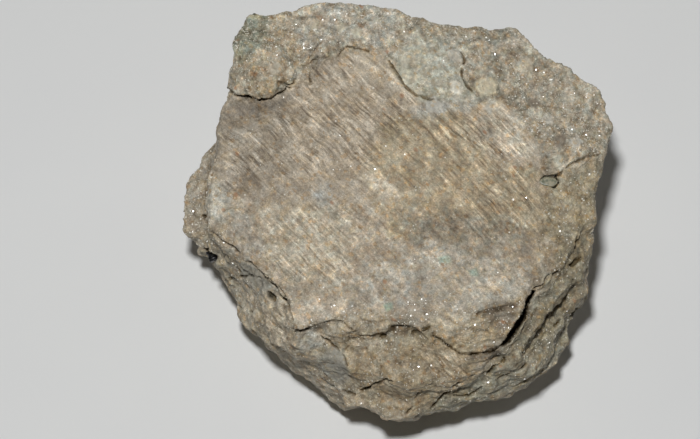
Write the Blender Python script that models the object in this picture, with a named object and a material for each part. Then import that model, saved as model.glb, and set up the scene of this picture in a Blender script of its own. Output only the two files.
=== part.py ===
"""Aquamarine in feldspar: a hand specimen of pegmatite. One rock, with two small crystals set in it.

Metres, +Z up. The origin is on the flat face that the rock rests on, below the middle of the rock. +X runs
along the longest side, and the broken front edge faces -Y.
"""

import math
import random

import bmesh
import bpy
import numpy as np
from mathutils import Matrix, Vector, noise
from mathutils.bvhtree import BVHTree

MM = 0.001
SEED = 11

# Driving dimensions of the rock, in millimetres.
CROWN_HEIGHT = 46.5  # the broad cleavage face on top, above the origin
FACE_RISE = (0.13, 0.055)  # slopes at which that face climbs towards the back, in front of and behind Y = 0
FACE_BEND = 9  # half width of the bend between the two slopes
FACE_DOME = 0.0022  # the face falls away to both sides with the square of x
FACETS = 9300  # triangles of the finished rock
SPHERE_CUTS = 7  # subdivisions of the ball that the rock is shaped from
EVEN_MESH = 0.8  # size of the even mesh that the shape is cast in before it is thinned out

# Outlines round the rock as (x, y, z) in millimetres, clockwise from the left.
# The rim is the upper edge, where the cleavage face breaks off into the walls.
RIM = [
    (-48, 4.5, 39.5), (-46.5, 10.5, 41), (-46, 20.5, 43), (-42.5, 26.5, 46), (-42.5, 37, 47),
    (-37.5, 46.5, 48), (-25, 47, 49), (-12, 48, 49.5), (1, 46, 49.5), (6, 45, 49), (16, 42.5, 48.5),
    (29.5, 41.5, 47.5), (33, 37.5, 47), (44.5, 31.5, 45.5), (52, 24, 43.5), (54.5, 16.5, 41.5),
    (52, 7, 39.5), (50, -6, 37.5), (46, -13, 37.5), (42.5, -20.5, 38.5), (35.5, -27, 40.5),
    (33, -33.5, 41), (28.5, -43, 39), (21.5, -46.5, 37.5), (14.5, -46, 38), (9, -40, 40.5),
    (1, -38.5, 42), (-8, -36, 42), (-14.5, -37, 42), (-25, -39, 41), (-27.5, -32, 41),
    (-32.5, -25.5, 40.5), (-40.5, -18, 39.5), (-47.5, -11, 38.5), (-49, -3.5, 38.5),
]
# The waist runs round the walls between rim and belly.
WAIST = [
    (-50, 2, 30.5), (-49.5, 8, 31), (-47.5, 14, 33), (-46, 22, 34), (-42.5, 33, 35), (-38, 45, 35),
    (-25, 48.5, 35), (-8, 49, 36), (12, 47, 35), (29, 43, 34), (44, 34, 33), (52.5, 24, 32),
    (53, 13, 31), (50.5, -2, 31), (48.5, -13, 30), (46.5, -21, 30), (42, -28, 30), (39, -36, 30),
    (32.5, -43, 30), (24, -47.5, 29.5), (13, -50.5, 30), (2, -47.5, 32), (-8, -44.5, 32),
    (-16, -43.5, 31), (-26, -41.5, 31), (-32, -32.5, 30), (-37, -24.5, 30), (-42.5, -17, 29.5),
    (-46.5, -10.5, 31),
]
# The belly is the widest line of the walls. It juts out as a ledge on the left.
BELLY = [
    (-56.5, -1, 27), (-56, 7, 28), (-51.5, 13.5, 28), (-47.5, 18, 27), (-44.5, 29, 24),
    (-39.5, 42, 22), (-26, 48, 22), (-8, 49.5, 23), (12, 48, 22), (28, 44.5, 22), (43, 37, 20),
    (51.5, 25, 20), (51.5, 11, 22), (50, -5.5, 26), (49, -13, 23), (48.5, -23, 21), (44, -29, 19),
    (44.5, -33, 19), (40.5, -39.5, 19), (36, -45, 19), (26, -50.5, 20), (15, -53.5, 21),
    (4, -55.5, 22), (-3, -55, 22), (-13.5, -50, 21), (-24.5, -41, 20), (-33.5, -32.5, 19),
    (-39.5, -24.5, 19), (-43.5, -14, 20), (-44, -10.5, 22), (-49.5, -8.5, 25), (-54, -6.5, 26),
]
# The foot bounds the flat face underneath.
FOOT = [
    (-39, 3, 0), (-36, 17, 0), (-27, 29, 0), (-11, 33, 0), (9, 32, 0), (25, 29, 0), (37, 20, 0),
    (41, 6, 0), (38, -12, 0), (36, -27, 0), (26, -38, 0), (8, -43, 0), (-9, -40, 0), (-23, -32, 0),
    (-35, -17, 0),
]

# Where each zone ends, as a share of the way from the top pole of the ball to the bottom one.
RIM_AT, BELLY_AT, FOOT_AT = 0.34, 0.58, 0.76
GROUND_REACH = 0.35  # what is this low in the end is part of the flat face

# A granular band lies along the back of the cleavage face and stands proud of it. Its front edge runs from
# left to right, as (x, y, height of the step) in millimetres.
BAND_EDGE = [
    (-47, 23.5, 3.2), (-36, 22, 3.6), (-31.5, 24.5, 3.2), (-28.5, 26, 3.0), (-22.5, 27, 2.6),
    (-21, 31.5, 2.2), (-13.5, 37, 1.6), (-5.5, 36, 1.4), (-0.5, 29, 1.6), (4.5, 24.5, 1.6),
    (11, 22.5, 1.2), (21.5, 20, 0.7), (31.5, 15, 0.7), (38, 5.5, 0.9), (42, 2, 0.9), (58, 4, 0.6),
]
BAND_BACK = [(58, 60), (-60, 60), (-60, 26)]  # closes the band's area behind the rock
BAND_EDGE_WIDTH = 1.7

# Stepped stretches of the walls: middle azimuth and half width in degrees, number of steps, and squareness.
STEPS = [
    dict(azimuth=-178, spread=22, count=1, square=0.65),  # the ledge on the left
    dict(azimuth=-42, spread=30, count=3, square=0.55),  # mica-rich layers at the right front
    dict(azimuth=-98, spread=24, count=2, square=0.35),  # broken front wall
    dict(azimuth=75, spread=75, count=3, square=0.4),  # back wall
]
STEP_WANDER = 0.22  # how far the steps stray up and down, as a share of the wall

# Single features are placed as they lie when the rock is seen from above its front edge: each (right, up) is
# measured in the plane square to that line of sight. Sizes are in millimetres.
SIGHT_TILT = 68  # degrees above the horizontal
SIGHT_MIDDLE = 25  # the point of the Z axis that lies at 0, 0 in that plane
SWELLS = [
    dict(at=(-33, 40), reach=(8, 7), lift=1.6),  # the knob at the back left
    dict(at=(-38, 25.5), reach=(8, 3.5), lift=-1.5),  # hollow under the knob
    dict(at=(22.5, 33), reach=(4, 3.5), lift=1.1),
    dict(at=(43.5, 15), reach=(5, 3), lift=1.0),
    dict(at=(38, 1), reach=(4, 8), lift=-0.9),
    dict(at=(-47, 2), reach=(3, 6), lift=1.2),
    dict(at=(26, -22), reach=(10, 4), lift=1.4),  # brow of the nose
    dict(at=(18, -33), reach=(11, 5), lift=-2.6),  # its sloping front
    dict(at=(-5, -41), reach=(9, 5), lift=1.8),
    dict(at=(-39, -20), reach=(5, 7), lift=-1.6),
    dict(at=(-31.5, -21), reach=(1.8, 2.2), lift=-2.2),  # pit
    dict(at=(-16, -38), reach=(4, 5), lift=1.3),
    dict(at=(42, -25), reach=(3, 6), lift=1.2),
    dict(at=(33, -41), reach=(6, 3), lift=1.2),
]
CRACKS = [
    # beside the nose, and along its foot
    dict(width=1.5, depth=6.0, line=[(35, -19.5), (33, -25.2), (31, -29.5), (28, -34)]),
    dict(width=1.0, depth=1.4, line=[(28, -34.5), (23, -37), (17.5, -38), (12, -35), (8.5, -30.5)]),
    # between the layers at the right front
    dict(width=1.0, depth=2.2, line=[(47.5, -5.5), (45, -10), (42.5, -14), (39, -17), (35, -19.5)]),
    dict(width=1.0, depth=2.2, line=[(44.5, -18.5), (42.5, -22.5), (39, -27), (36, -32.5), (33, -35.5)]),
    dict(width=1.1, depth=1.8, line=[(29.5, -37), (24, -40), (19, -47), (12.5, -48), (6, -52.5)]),
    # under the lip of the front edge
    dict(width=1.7, depth=2.6, line=[(-6, -32), (-1, -30.5), (2, -30.5), (5, -32)]),
    dict(width=1.0, depth=1.8, line=[(-26, -30), (-23.5, -31), (-15.5, -28), (-8, -28), (0, -28)]),
    # along the top of the left wall
    dict(width=1.1, depth=1.6, line=[(-49, 5), (-49, -4), (-41, -10), (-37, -14), (-29, -23.5)]),
]

# Roughness of broken stone: grain size and height in millimetres.
LUMPS = [dict(size=24, height=2.2), dict(size=9, height=1.2), dict(size=3.6, height=0.5)]
FACE_SMOOTHNESS = 0.3  # share of that roughness on the cleavage face

# Blows that split flat facets off the back and the lower walls: how many, which way the facets face, and how
# deep they cut.
BLOWS = [
    dict(count=16, azimuth=(15, 160), tilt=(-44, -24), depth=(1.5, 4.0)),
    dict(count=14, azimuth=(165, 375), tilt=(-66, -50), depth=(0.8, 2.6)),
]

# The two crystals: a beryl prism that ends level with the top, and a black tourmaline under the left ledge.
# Each is sunk in the rock where a ray from `sight` along `towards` meets it, and stands `proud` of that spot.
CRYSTAL_GAP = 0.3
AQUAMARINE = dict(
    sight=(38.4, 1.4, 80), towards=(0, 0, -1), proud=0.45,
    across=4.6, through=2.8, length=8.0, turn=-8, lean=0,
)
TOURMALINE = dict(
    sight=(-80, -21.8, 19.6), towards=(0.93, 0.35, 0.05), proud=2.4,
    across=3.6, through=3.0, length=9.0, turn=20, lean=8,
)

FINISHES = dict(
    feldspar=dict(colour=(0.40, 0.34, 0.26, 1), roughness=0.75),
    aquamarine=dict(colour=(0.22, 0.29, 0.25, 1), roughness=0.25),
    tourmaline=dict(colour=(0.012, 0.012, 0.014, 1), roughness=0.2),
)


def clear_scene():
    for item in list(bpy.data.objects):
        bpy.data.objects.remove(item)


def make_material(name):
    material = bpy.data.materials.new(name)
    material.use_nodes = True
    shader = material.node_tree.nodes["Principled BSDF"]
    shader.inputs["Base Color"].default_value = FINISHES[name]["colour"]
    shader.inputs["Roughness"].default_value = FINISHES[name]["roughness"]
    shader.inputs["Metallic"].default_value = 0
    return material


def link(name, mesh, material=None):
    item = bpy.data.objects.new(name, mesh)
    bpy.context.scene.collection.objects.link(item)
    if material:
        mesh.materials.append(material)
    return item


def smoothstep(low, high, value):
    share = np.clip((value - low) / (high - low), 0, 1)
    return share * share * (3 - 2 * share)


def outline_at(outline, azimuth):
    """Distance from the Z axis and height of a closed outline, straight out in each azimuth."""
    points = np.array(outline, float)
    points = points[np.argsort(np.arctan2(points[:, 1], points[:, 0]))]
    bearings = np.arctan2(points[:, 1], points[:, 0])
    after = np.searchsorted(bearings, azimuth) % len(points)
    start, end = points[after - 1], points[after]
    side = end[:, :2] - start[:, :2]
    ray_x, ray_y = np.cos(azimuth), np.sin(azimuth)
    crossing = ray_x * side[:, 1] - ray_y * side[:, 0]
    radius = (start[:, 0] * side[:, 1] - start[:, 1] * side[:, 0]) / crossing
    along = (start[:, 0] * ray_y - start[:, 1] * ray_x) / crossing
    return radius, start[:, 2] + along * (end[:, 2] - start[:, 2])


def stair(share, count, square):
    """Outward and downward progress along a wall of steps: each step falls first and then runs out."""
    step = np.floor(np.minimum(share * count, count - 1e-6))
    within = share * count - step
    out = (step + smoothstep(0.5, 1, within)) / count
    down = (step + smoothstep(0, 0.62, within)) / count
    return share + (out - share) * square, share + (down - share) * square


def from_line(x, y, line):
    """Distance of each point from a line of straight stretches."""
    nearest = np.full(len(x), np.inf)
    for start, end in zip(line[:-1], line[1:]):
        side = np.subtract(end, start)
        along = np.clip(((x - start[0]) * side[0] + (y - start[1]) * side[1]) / (side @ side), 0, 1)
        away = np.hypot(x - start[0] - along * side[0], y - start[1] - along * side[1])
        nearest = np.minimum(nearest, away)
    return nearest


def between(upper, middle, lower, share):
    """The value some share of the way down a wall, from its values at the top, halfway and at the bottom."""
    first, second = np.minimum(2 * share, 1), np.maximum(2 * share - 1, 0)
    return upper + (middle - upper) * first + (lower - middle) * second


def wall_progress(share, azimuth, wander):
    """Outward and downward progress from rim to belly, with the stepped stretches blended in."""
    bent = np.clip(share + STEP_WANDER * wander * 4 * share * (1 - share), 0, 1)
    out, down = share.copy(), share.copy()
    for stretch in STEPS:
        turned = azimuth - math.radians(stretch["azimuth"])
        away = np.degrees(np.abs((turned + math.pi) % (2 * math.pi) - math.pi))
        weight = 1 - smoothstep(0.6 * stretch["spread"], 1.2 * stretch["spread"], away)
        step_out, step_down = stair(bent, stretch["count"], stretch["square"])
        out += (step_out - out) * weight
        down += (step_down - down) * weight
    return out, down


def face_height(x, y):
    front, back = FACE_RISE
    climb = (front + back) / 2 * y - (front - back) / 2 * (np.hypot(y, FACE_BEND) - FACE_BEND)
    return CROWN_HEIGHT + climb - FACE_DOME * x * x


def band_height(x, y):
    """How far the granular band stands above the cleavage face at each point."""
    edge = np.array(BAND_EDGE, float)
    away = np.hypot(x[:, None] - edge[:, 0], y[:, None] - edge[:, 1])
    pull = 1 / (away**2 + 4) ** 2
    height = (pull @ edge[:, 2]) / pull.sum(axis=1)
    area = np.vstack([edge[:, :2], np.array(BAND_BACK, float)])
    inside = np.zeros(len(x), bool)
    for start, end in zip(area, np.roll(area, -1, axis=0)):
        if start[1] != end[1]:
            crosses = (start[1] > y) != (end[1] > y)
            slant = (end[0] - start[0]) / (end[1] - start[1])
            inside ^= crosses & (x < start[0] + (y - start[1]) * slant)
    reach = from_line(x, y, edge[:, :2])
    signed = np.where(inside, reach, -reach)
    return height * smoothstep(-BAND_EDGE_WIDTH / 2, BAND_EDGE_WIDTH / 2, signed)


def rock_surface(directions):
    """Moves points of the unit ball to the rock's surface, in millimetres."""
    azimuth = np.arctan2(directions[:, 1], directions[:, 0])
    polar = np.arccos(np.clip(directions[:, 2], -1, 1)) / math.pi
    rim_radius, rim_z = outline_at(RIM, azimuth)
    waist_radius, waist_z = outline_at(WAIST, azimuth)
    belly_radius, belly_z = outline_at(BELLY, azimuth)
    foot_radius, _ = outline_at(FOOT, azimuth)

    inward = np.clip(polar / RIM_AT, 0, 1)
    down_wall = np.clip((polar - RIM_AT) / (BELLY_AT - RIM_AT), 0, 1)
    under = np.clip((polar - BELLY_AT) / (FOOT_AT - BELLY_AT), 0, 1)
    below = np.clip((polar - FOOT_AT) / (1 - FOOT_AT), 0, 1)

    wander = np.array([noise.noise(Vector(direction) * 3.5) for direction in directions])
    out, down = wall_progress(down_wall, azimuth, wander)
    radius = between(rim_radius, waist_radius, belly_radius, out)
    z = between(rim_z, waist_z, belly_z, down)
    radius += (foot_radius - belly_radius) * under**1.5
    z = np.where(polar > BELLY_AT, belly_z * (1 - under), z)
    radius = np.where(polar < RIM_AT, rim_radius * inward, radius)
    radius = np.where(polar > FOOT_AT, foot_radius * (1 - below), radius)

    x, y = radius * np.cos(azimuth), radius * np.sin(azimuth)
    raised = band_height(x, y)
    face = face_height(x, y) + raised
    edge = rim_z + 0.4 * raised
    z = np.where(polar < RIM_AT, face + (edge - face) * inward**7, z)
    z = np.where(polar > FOOT_AT, 0, z)
    return np.stack([x, y, z], axis=1), polar


def feature_lift(points, normals):
    """How far the swells and cracks move each point out along its normal."""
    tilt = math.radians(SIGHT_TILT)
    facing = smoothstep(0.05, 0.3, normals @ np.array([0, -math.cos(tilt), math.sin(tilt)]))
    right = points[:, 0]
    up = points[:, 1] * math.sin(tilt) + (points[:, 2] - SIGHT_MIDDLE) * math.cos(tilt)
    lift = np.zeros(len(points))
    for swell in SWELLS:
        (at_right, at_up), (wide, high) = swell["at"], swell["reach"]
        lift += swell["lift"] * np.exp(-(((right - at_right) / wide) ** 2) - ((up - at_up) / high) ** 2)
    for crack in CRACKS:
        away = from_line(right, up, crack["line"])
        lift -= crack["depth"] * np.exp(-((away / crack["width"]) ** 2))
    return lift * facing


def roughen(ball, polar):
    """Moves points along their normals: features, and lumps that are lower on the cleavage face."""
    ball.normal_update()
    normals = np.array([vertex.normal for vertex in ball.verts])
    features = feature_lift(np.array([vertex.co for vertex in ball.verts]), normals)
    walls = smoothstep(0.9 * RIM_AT, 1.1 * RIM_AT, polar)
    for vertex, place, wall, lift in zip(ball.verts, polar, walls, features):
        if place >= FOOT_AT:
            continue
        share = FACE_SMOOTHNESS + (1 - FACE_SMOOTHNESS) * wall
        share *= min(1.0, (FOOT_AT - place) / 0.04)
        for number, lump in enumerate(LUMPS):
            spot = vertex.co / lump["size"] + Vector((7.1, 3.3, 5.9)) * (number + 1)
            lift += share * lump["height"] * noise.fractal(spot, 1.0, 2.0, 2)
        vertex.co += vertex.normal * lift


def strike(ball):
    """Cuts the outermost stone away along planes, as blows would."""
    draw = random.Random(SEED)
    points = np.array([vertex.co for vertex in ball.verts])
    for blow in BLOWS:
        for _ in range(blow["count"]):
            azimuth = math.radians(draw.uniform(*blow["azimuth"]))
            tilt = math.radians(draw.uniform(*blow["tilt"]))
            facing = np.array([math.cos(azimuth), math.sin(azimuth), 0]) * math.cos(tilt)
            facing[2] = math.sin(tilt)
            reach = points @ facing
            over = np.maximum(reach - reach.max() + draw.uniform(*blow["depth"]), 0)
            points -= over[:, None] * facing
    for vertex, point in zip(ball.verts, points):
        vertex.co = point


def make_rock(material):
    ball = bmesh.new()
    bmesh.ops.create_icosphere(ball, subdivisions=SPHERE_CUTS, radius=1)
    directions = np.array([vertex.co.normalized() for vertex in ball.verts])
    points, polar = rock_surface(directions)
    for vertex, point in zip(ball.verts, points):
        vertex.co = point
    strike(ball)
    roughen(ball, polar)
    for vertex, place in zip(ball.verts, polar):
        vertex.co.z = 0 if place >= FOOT_AT else max(vertex.co.z, 0)
        vertex.co *= MM
    mesh = bpy.data.meshes.new("feldspar_matrix")
    ball.to_mesh(mesh)
    ball.free()
    rock = link("feldspar_matrix", mesh, material)
    thin_out(rock)
    return rock


def applied(rock, kind, **settings):
    """Adds one modifier and makes its result the rock's mesh."""
    modifier = rock.modifiers.new(kind.lower(), kind)
    for name, value in settings.items():
        setattr(modifier, name, value)
    graph = bpy.context.evaluated_depsgraph_get()
    graph.update()
    mesh = bpy.data.meshes.new_from_object(rock.evaluated_get(graph))
    rock.modifiers.clear()
    rock.data = mesh
    return mesh


def thin_out(rock):
    """Casts the shape in an even mesh, keeps it with far fewer triangles, and levels the flat face again."""
    even = applied(rock, "REMESH", mode="VOXEL", voxel_size=EVEN_MESH * MM)
    thinned = applied(rock, "DECIMATE", ratio=FACETS / (2 * len(even.polygons)))
    for vertex in thinned.vertices:
        if vertex.co.z < GROUND_REACH * MM:
            vertex.co.z = 0


def prism(name, shape, growth, material=None):
    """A six-sided prism along +Z with its outer end at z = 0, grown all round by `growth` millimetres."""
    solid = bmesh.new()
    bmesh.ops.create_cone(solid, cap_ends=True, segments=6, radius1=0.5, radius2=0.5, depth=1)
    wide = (shape["across"] + 2 * growth) * MM
    thick = (shape["through"] + 2 * growth) / math.cos(math.radians(30)) * MM
    top = CRYSTAL_GAP if growth else 0
    length = (shape["length"] + growth + top) * MM
    bmesh.ops.translate(solid, verts=solid.verts, vec=(0, 0, -0.5))
    bmesh.ops.rotate(solid, verts=solid.verts, matrix=Matrix.Rotation(math.radians(30), 3, "Z"))
    bmesh.ops.scale(solid, verts=solid.verts, vec=(wide, thick, length))
    bmesh.ops.translate(solid, verts=solid.verts, vec=(0, 0, top * MM))
    bmesh.ops.recalc_face_normals(solid, faces=solid.faces)
    mesh = bpy.data.meshes.new(name)
    solid.to_mesh(mesh)
    solid.free()
    return link(name, mesh, material)


def set_crystal(rock, name, shape, material):
    """Sinks a crystal in the rock where a line of sight meets it, in a pocket that clears it all round."""
    tree = BVHTree.FromPolygons(
        [vertex.co for vertex in rock.data.vertices],
        [tuple(face.vertices) for face in rock.data.polygons],
    )
    towards = Vector(shape["towards"]).normalized()
    spot, _, _, _ = tree.ray_cast(Vector(shape["sight"]) * MM, towards)
    axis = -towards
    upright = axis.to_track_quat("Z", "Y").to_matrix().to_4x4()
    lean = Matrix.Rotation(math.radians(shape["lean"]), 4, "X")
    turn = Matrix.Rotation(math.radians(shape["turn"]), 4, "Z")
    place = Matrix.Translation(spot + axis * shape["proud"] * MM) @ upright @ lean @ turn
    crystal = prism(name, shape, 0, material)
    crystal.matrix_world = place
    cutter = prism(name + "_pocket", shape, CRYSTAL_GAP)
    cutter.matrix_world = place
    cutter.hide_render = True
    cutter.display_type = "WIRE"
    pocket = rock.modifiers.new(name + "_pocket", "BOOLEAN")
    pocket.object = cutter
    pocket.operation = "DIFFERENCE"
    pocket.solver = "EXACT"
    return crystal


def build():
    clear_scene()
    rock = make_rock(make_material("feldspar"))
    set_crystal(rock, "aquamarine_crystal", AQUAMARINE, make_material("aquamarine"))
    set_crystal(rock, "tourmaline_crystal", TOURMALINE, make_material("tourmaline"))


build()
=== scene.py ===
import math
import random

import bmesh
import bpy
import numpy as np
from mathutils import Matrix, Vector, noise


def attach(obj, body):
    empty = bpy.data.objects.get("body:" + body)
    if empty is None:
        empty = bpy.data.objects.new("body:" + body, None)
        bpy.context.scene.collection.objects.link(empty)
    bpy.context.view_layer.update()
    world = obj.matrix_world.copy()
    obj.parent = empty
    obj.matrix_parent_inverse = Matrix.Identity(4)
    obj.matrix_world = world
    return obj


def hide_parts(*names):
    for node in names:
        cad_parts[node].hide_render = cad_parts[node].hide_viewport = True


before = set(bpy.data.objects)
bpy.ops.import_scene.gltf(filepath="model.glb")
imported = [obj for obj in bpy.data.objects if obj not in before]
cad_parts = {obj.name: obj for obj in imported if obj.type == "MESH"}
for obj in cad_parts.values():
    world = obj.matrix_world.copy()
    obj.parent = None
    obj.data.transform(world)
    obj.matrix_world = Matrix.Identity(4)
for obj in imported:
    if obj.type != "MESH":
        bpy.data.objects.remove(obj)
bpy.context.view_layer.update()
mm = 0.001
scene = bpy.context.scene
print("frame loaded:", ", ".join(sorted(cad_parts)))


# View coordinates are counted on a frame 700 wide and 439 high, from its top left corner.
camera = {
    "elevation": 68,  # degrees above the floor
    "distance": 0.9,
    "frameWidth": 700,
    "frameHeight": 439,
    "zoom": 3502,  # frame units for a slope of 1
    "middleHeight": 25 * mm,  # the point of the upright axis that is sighted
    "shiftRight": -12.08 * mm,
    "shiftUp": -1.93 * mm,
    "sensor": 36,
    "nearest": 0.01,  # metres, from which things are seen
}
slope = math.radians(camera["elevation"])
sightLine = Vector((0, math.cos(slope), -math.sin(slope)))
sightUp = Vector((0, math.sin(slope), math.cos(slope)))
sightRight = Vector((1, 0, 0))
aim = Vector((0, 0, camera["middleHeight"])) + sightRight * camera["shiftRight"] + sightUp * camera["shiftUp"]
eye = aim - sightLine * camera["distance"]

lens = bpy.data.cameras.new("Camera")
lens.sensor_width = camera["sensor"]
lens.lens = camera["sensor"] * camera["zoom"] / camera["frameWidth"]
lens.clip_start = camera["nearest"]
lens.dof.use_dof = False
cameraObject = bpy.data.objects.new("Camera", lens)
cameraObject.matrix_world = Matrix.Translation(eye) @ sightLine.to_track_quat("-Z", "Y").to_matrix().to_4x4()
scene.collection.objects.link(cameraObject)
scene.camera = cameraObject
viewUnit = camera["distance"] / camera["zoom"] / mm  # millimetres to a view unit, at the middle of the rock
print("camera placed")


def inView(points):
    # view coordinates of points given in millimetres
    away = points * mm - np.array(eye)
    depth = away @ np.array(sightLine)
    across = camera["frameWidth"] / 2 + camera["zoom"] * (away @ np.array(sightRight)) / depth
    down = camera["frameHeight"] / 2 - camera["zoom"] * (away @ np.array(sightUp)) / depth
    return across, down


def smooth(low, high, value):
    share = np.clip((value - low) / (high - low), 0, 1)
    return share * share * (3 - 2 * share)


def grainOf(points, size, shift=0, octaves=1, rough=0.9):
    # noise about -1 to 1 whose lumps are `size` millimetres; size may be a length for each axis
    spots = (points / np.array(size) + shift * 7.31).tolist()
    if octaves == 1:
        return np.array([noise.noise(spot) for spot in spots])
    return np.array([noise.fractal(spot, rough, 2.1, octaves) for spot in spots])


def cellsOf(points, size, shift=0):
    # distance to the middle of each grain and a number of its own, in grains of `size` millimetres
    spots = (points / size + shift * 5.17).tolist()
    found = [noise.voronoi(spot) for spot in spots]
    near = np.array([distances[0] for distances, middles in found])
    own = np.array([noise.cell(middles[0] * 37.7) for distances, middles in found])
    return near, own


def distanceTo(line, across, down):
    # distance from view points to a line of view points
    nearest = np.full(len(across), 1e9)
    for (ax, ay), (bx, by) in zip(line, line[1:]):
        dx, dy = bx - ax, by - ay
        share = np.clip(((across - ax) * dx + (down - ay) * dy) / (dx * dx + dy * dy), 0, 1)
        nearest = np.minimum(nearest, np.hypot(across - ax - share * dx, down - ay - share * dy))
    return nearest


def insideOf(outline, across, down, soft):
    # 1 inside an outline of view points and 0 outside, over an edge `soft` wide
    inside = np.zeros(len(across), bool)
    closed = outline + outline[:1]
    for (ax, ay), (bx, by) in zip(closed, closed[1:]):
        if ay != by:
            spans = (ay > down) != (by > down)
            inside ^= spans & (across < (bx - ax) * (down - ay) / (by - ay) + ax)
    distance = distanceTo(closed, across, down)
    return smooth(-soft, soft, np.where(inside, distance, -distance))


def linear(red, green, blue):
    # a colour given as 0 to 255, as the shader wants it
    shares = [part / 255 for part in (red, green, blue)]
    return [s / 12.92 if s <= 0.04045 else ((s + 0.055) / 1.055) ** 2.4 for s in shares]


def opaque(red, green, blue):
    return (*linear(red, green, blue), 1)


def listed(items, key, width=1, kind=np.float32):
    # one value, or a row of them, for each item of a mesh
    values = np.zeros(len(items) * width, kind)
    items.foreach_get(key, values)
    return values.reshape(-1, width) if width > 1 else values


def smoothShaded(mesh):
    mesh.polygons.foreach_set("use_smooth", [True] * len(mesh.polygons))
    return mesh


def newPiece(name, mesh, material):
    piece = bpy.data.objects.new(name, mesh)
    scene.collection.objects.link(piece)
    mesh.materials.clear()
    mesh.materials.append(material)
    return piece


def meshCopy(node):
    # a copy of a solid's mesh with its loose triangles joined up
    work = bmesh.new()
    work.from_mesh(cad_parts[node].data)
    bmesh.ops.remove_doubles(work, verts=work.verts, dist=1e-6)
    return work


def meshOf(work, name):
    mesh = bpy.data.meshes.new(name)
    work.to_mesh(mesh)
    work.free()
    return mesh


def baked(piece):
    # the piece's modifiers worked into its mesh
    bpy.context.view_layer.update()
    settled = bpy.data.meshes.new_from_object(piece.evaluated_get(bpy.context.evaluated_depsgraph_get()))
    piece.modifiers.clear()
    piece.data = settled


def newMaterial(name):
    material = bpy.data.materials.new(name)
    material.use_nodes = True
    tree = material.node_tree
    tree.nodes.clear()
    output = tree.nodes.new("ShaderNodeOutputMaterial")
    shader = tree.nodes.new("ShaderNodeBsdfPrincipled")
    tree.links.new(shader.outputs[0], output.inputs["Surface"])
    return material, tree, shader


def put(tree, socket, value):
    # a link from another node, or a plain value
    if isinstance(value, bpy.types.NodeSocket):
        tree.links.new(value, socket)
    else:
        socket.default_value = value


def maths(tree, operation, first, second):
    step = tree.nodes.new("ShaderNodeMath")
    step.operation = operation
    put(tree, step.inputs[0], first)
    put(tree, step.inputs[1], second)
    return step.outputs[0]


def ranged(tree, value, low, high, outLow=0.0, outHigh=1.0):
    step = tree.nodes.new("ShaderNodeMapRange")
    step.interpolation_type = "SMOOTHSTEP"
    put(tree, step.inputs["Value"], value)
    for socket, number in zip(("From Min", "From Max", "To Min", "To Max"), (low, high, outLow, outHigh)):
        step.inputs[socket].default_value = number
    return step.outputs[0]


def mixed(tree, share, first, second, blend="MIX"):
    step = tree.nodes.new("ShaderNodeMix")
    step.data_type = "RGBA"
    step.blend_type = blend
    put(tree, step.inputs["Factor"], share)
    put(tree, step.inputs[6], first)  # the colour sockets A and B
    put(tree, step.inputs[7], second)
    return step.outputs[2]


def tinted(tree, base, share, factor):
    # the base colour multiplied by a factor, where the share says so
    return mixed(tree, share, base, mixed(tree, 1.0, base, (*factor, 1), "MULTIPLY"))


def sized(tree, length, width, depth, turn=0.0, warp=0.0):
    # Object coordinates counted in lengths, widths and depths of a pattern, in millimetres, turned about Z
    place = tree.nodes.new("ShaderNodeTexCoord").outputs["Object"]
    if warp:
        wobble = tree.nodes.new("ShaderNodeTexNoise")
        wobble.inputs["Scale"].default_value = 90
        wobble.inputs["Detail"].default_value = 1
        tree.links.new(place, wobble.inputs["Vector"])
        bend = tree.nodes.new("ShaderNodeVectorMath")
        bend.operation = "MULTIPLY_ADD"
        tree.links.new(wobble.outputs["Color"], bend.inputs[0])
        bend.inputs[1].default_value = (warp * mm,) * 3
        tree.links.new(place, bend.inputs[2])
        place = bend.outputs[0]
    mapping = tree.nodes.new("ShaderNodeMapping")
    mapping.vector_type = "TEXTURE"
    mapping.inputs["Rotation"].default_value = (0, 0, math.radians(turn))
    mapping.inputs["Scale"].default_value = (length * mm, width * mm, depth * mm)
    tree.links.new(place, mapping.inputs["Vector"])
    return mapping.outputs[0]


def noisy(tree, place, detail, rough):
    step = tree.nodes.new("ShaderNodeTexNoise")
    tree.links.new(place, step.inputs["Vector"])
    step.inputs["Scale"].default_value = 1.0
    step.inputs["Detail"].default_value = detail
    step.inputs["Roughness"].default_value = rough
    return step.outputs[0]


def grains(tree, place):
    step = tree.nodes.new("ShaderNodeTexVoronoi")
    tree.links.new(place, step.inputs["Vector"])
    step.inputs["Scale"].default_value = 1.0
    return step.outputs["Distance"], step.outputs["Color"]


def channel(tree, colour, which):
    split = tree.nodes.new("ShaderNodeSeparateColor")
    tree.links.new(colour, split.inputs[0])
    return split.outputs[which]


def attribute(tree, name, output="Fac"):
    step = tree.nodes.new("ShaderNodeAttribute")
    step.attribute_name = name
    return step.outputs[output]


def bumped(tree, shader, height, strength, distance):
    bump = tree.nodes.new("ShaderNodeBump")
    bump.inputs["Strength"].default_value = strength
    bump.inputs["Distance"].default_value = distance * mm
    tree.links.new(height, bump.inputs["Height"])
    tree.links.new(bump.outputs[0], shader.inputs["Normal"])


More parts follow.
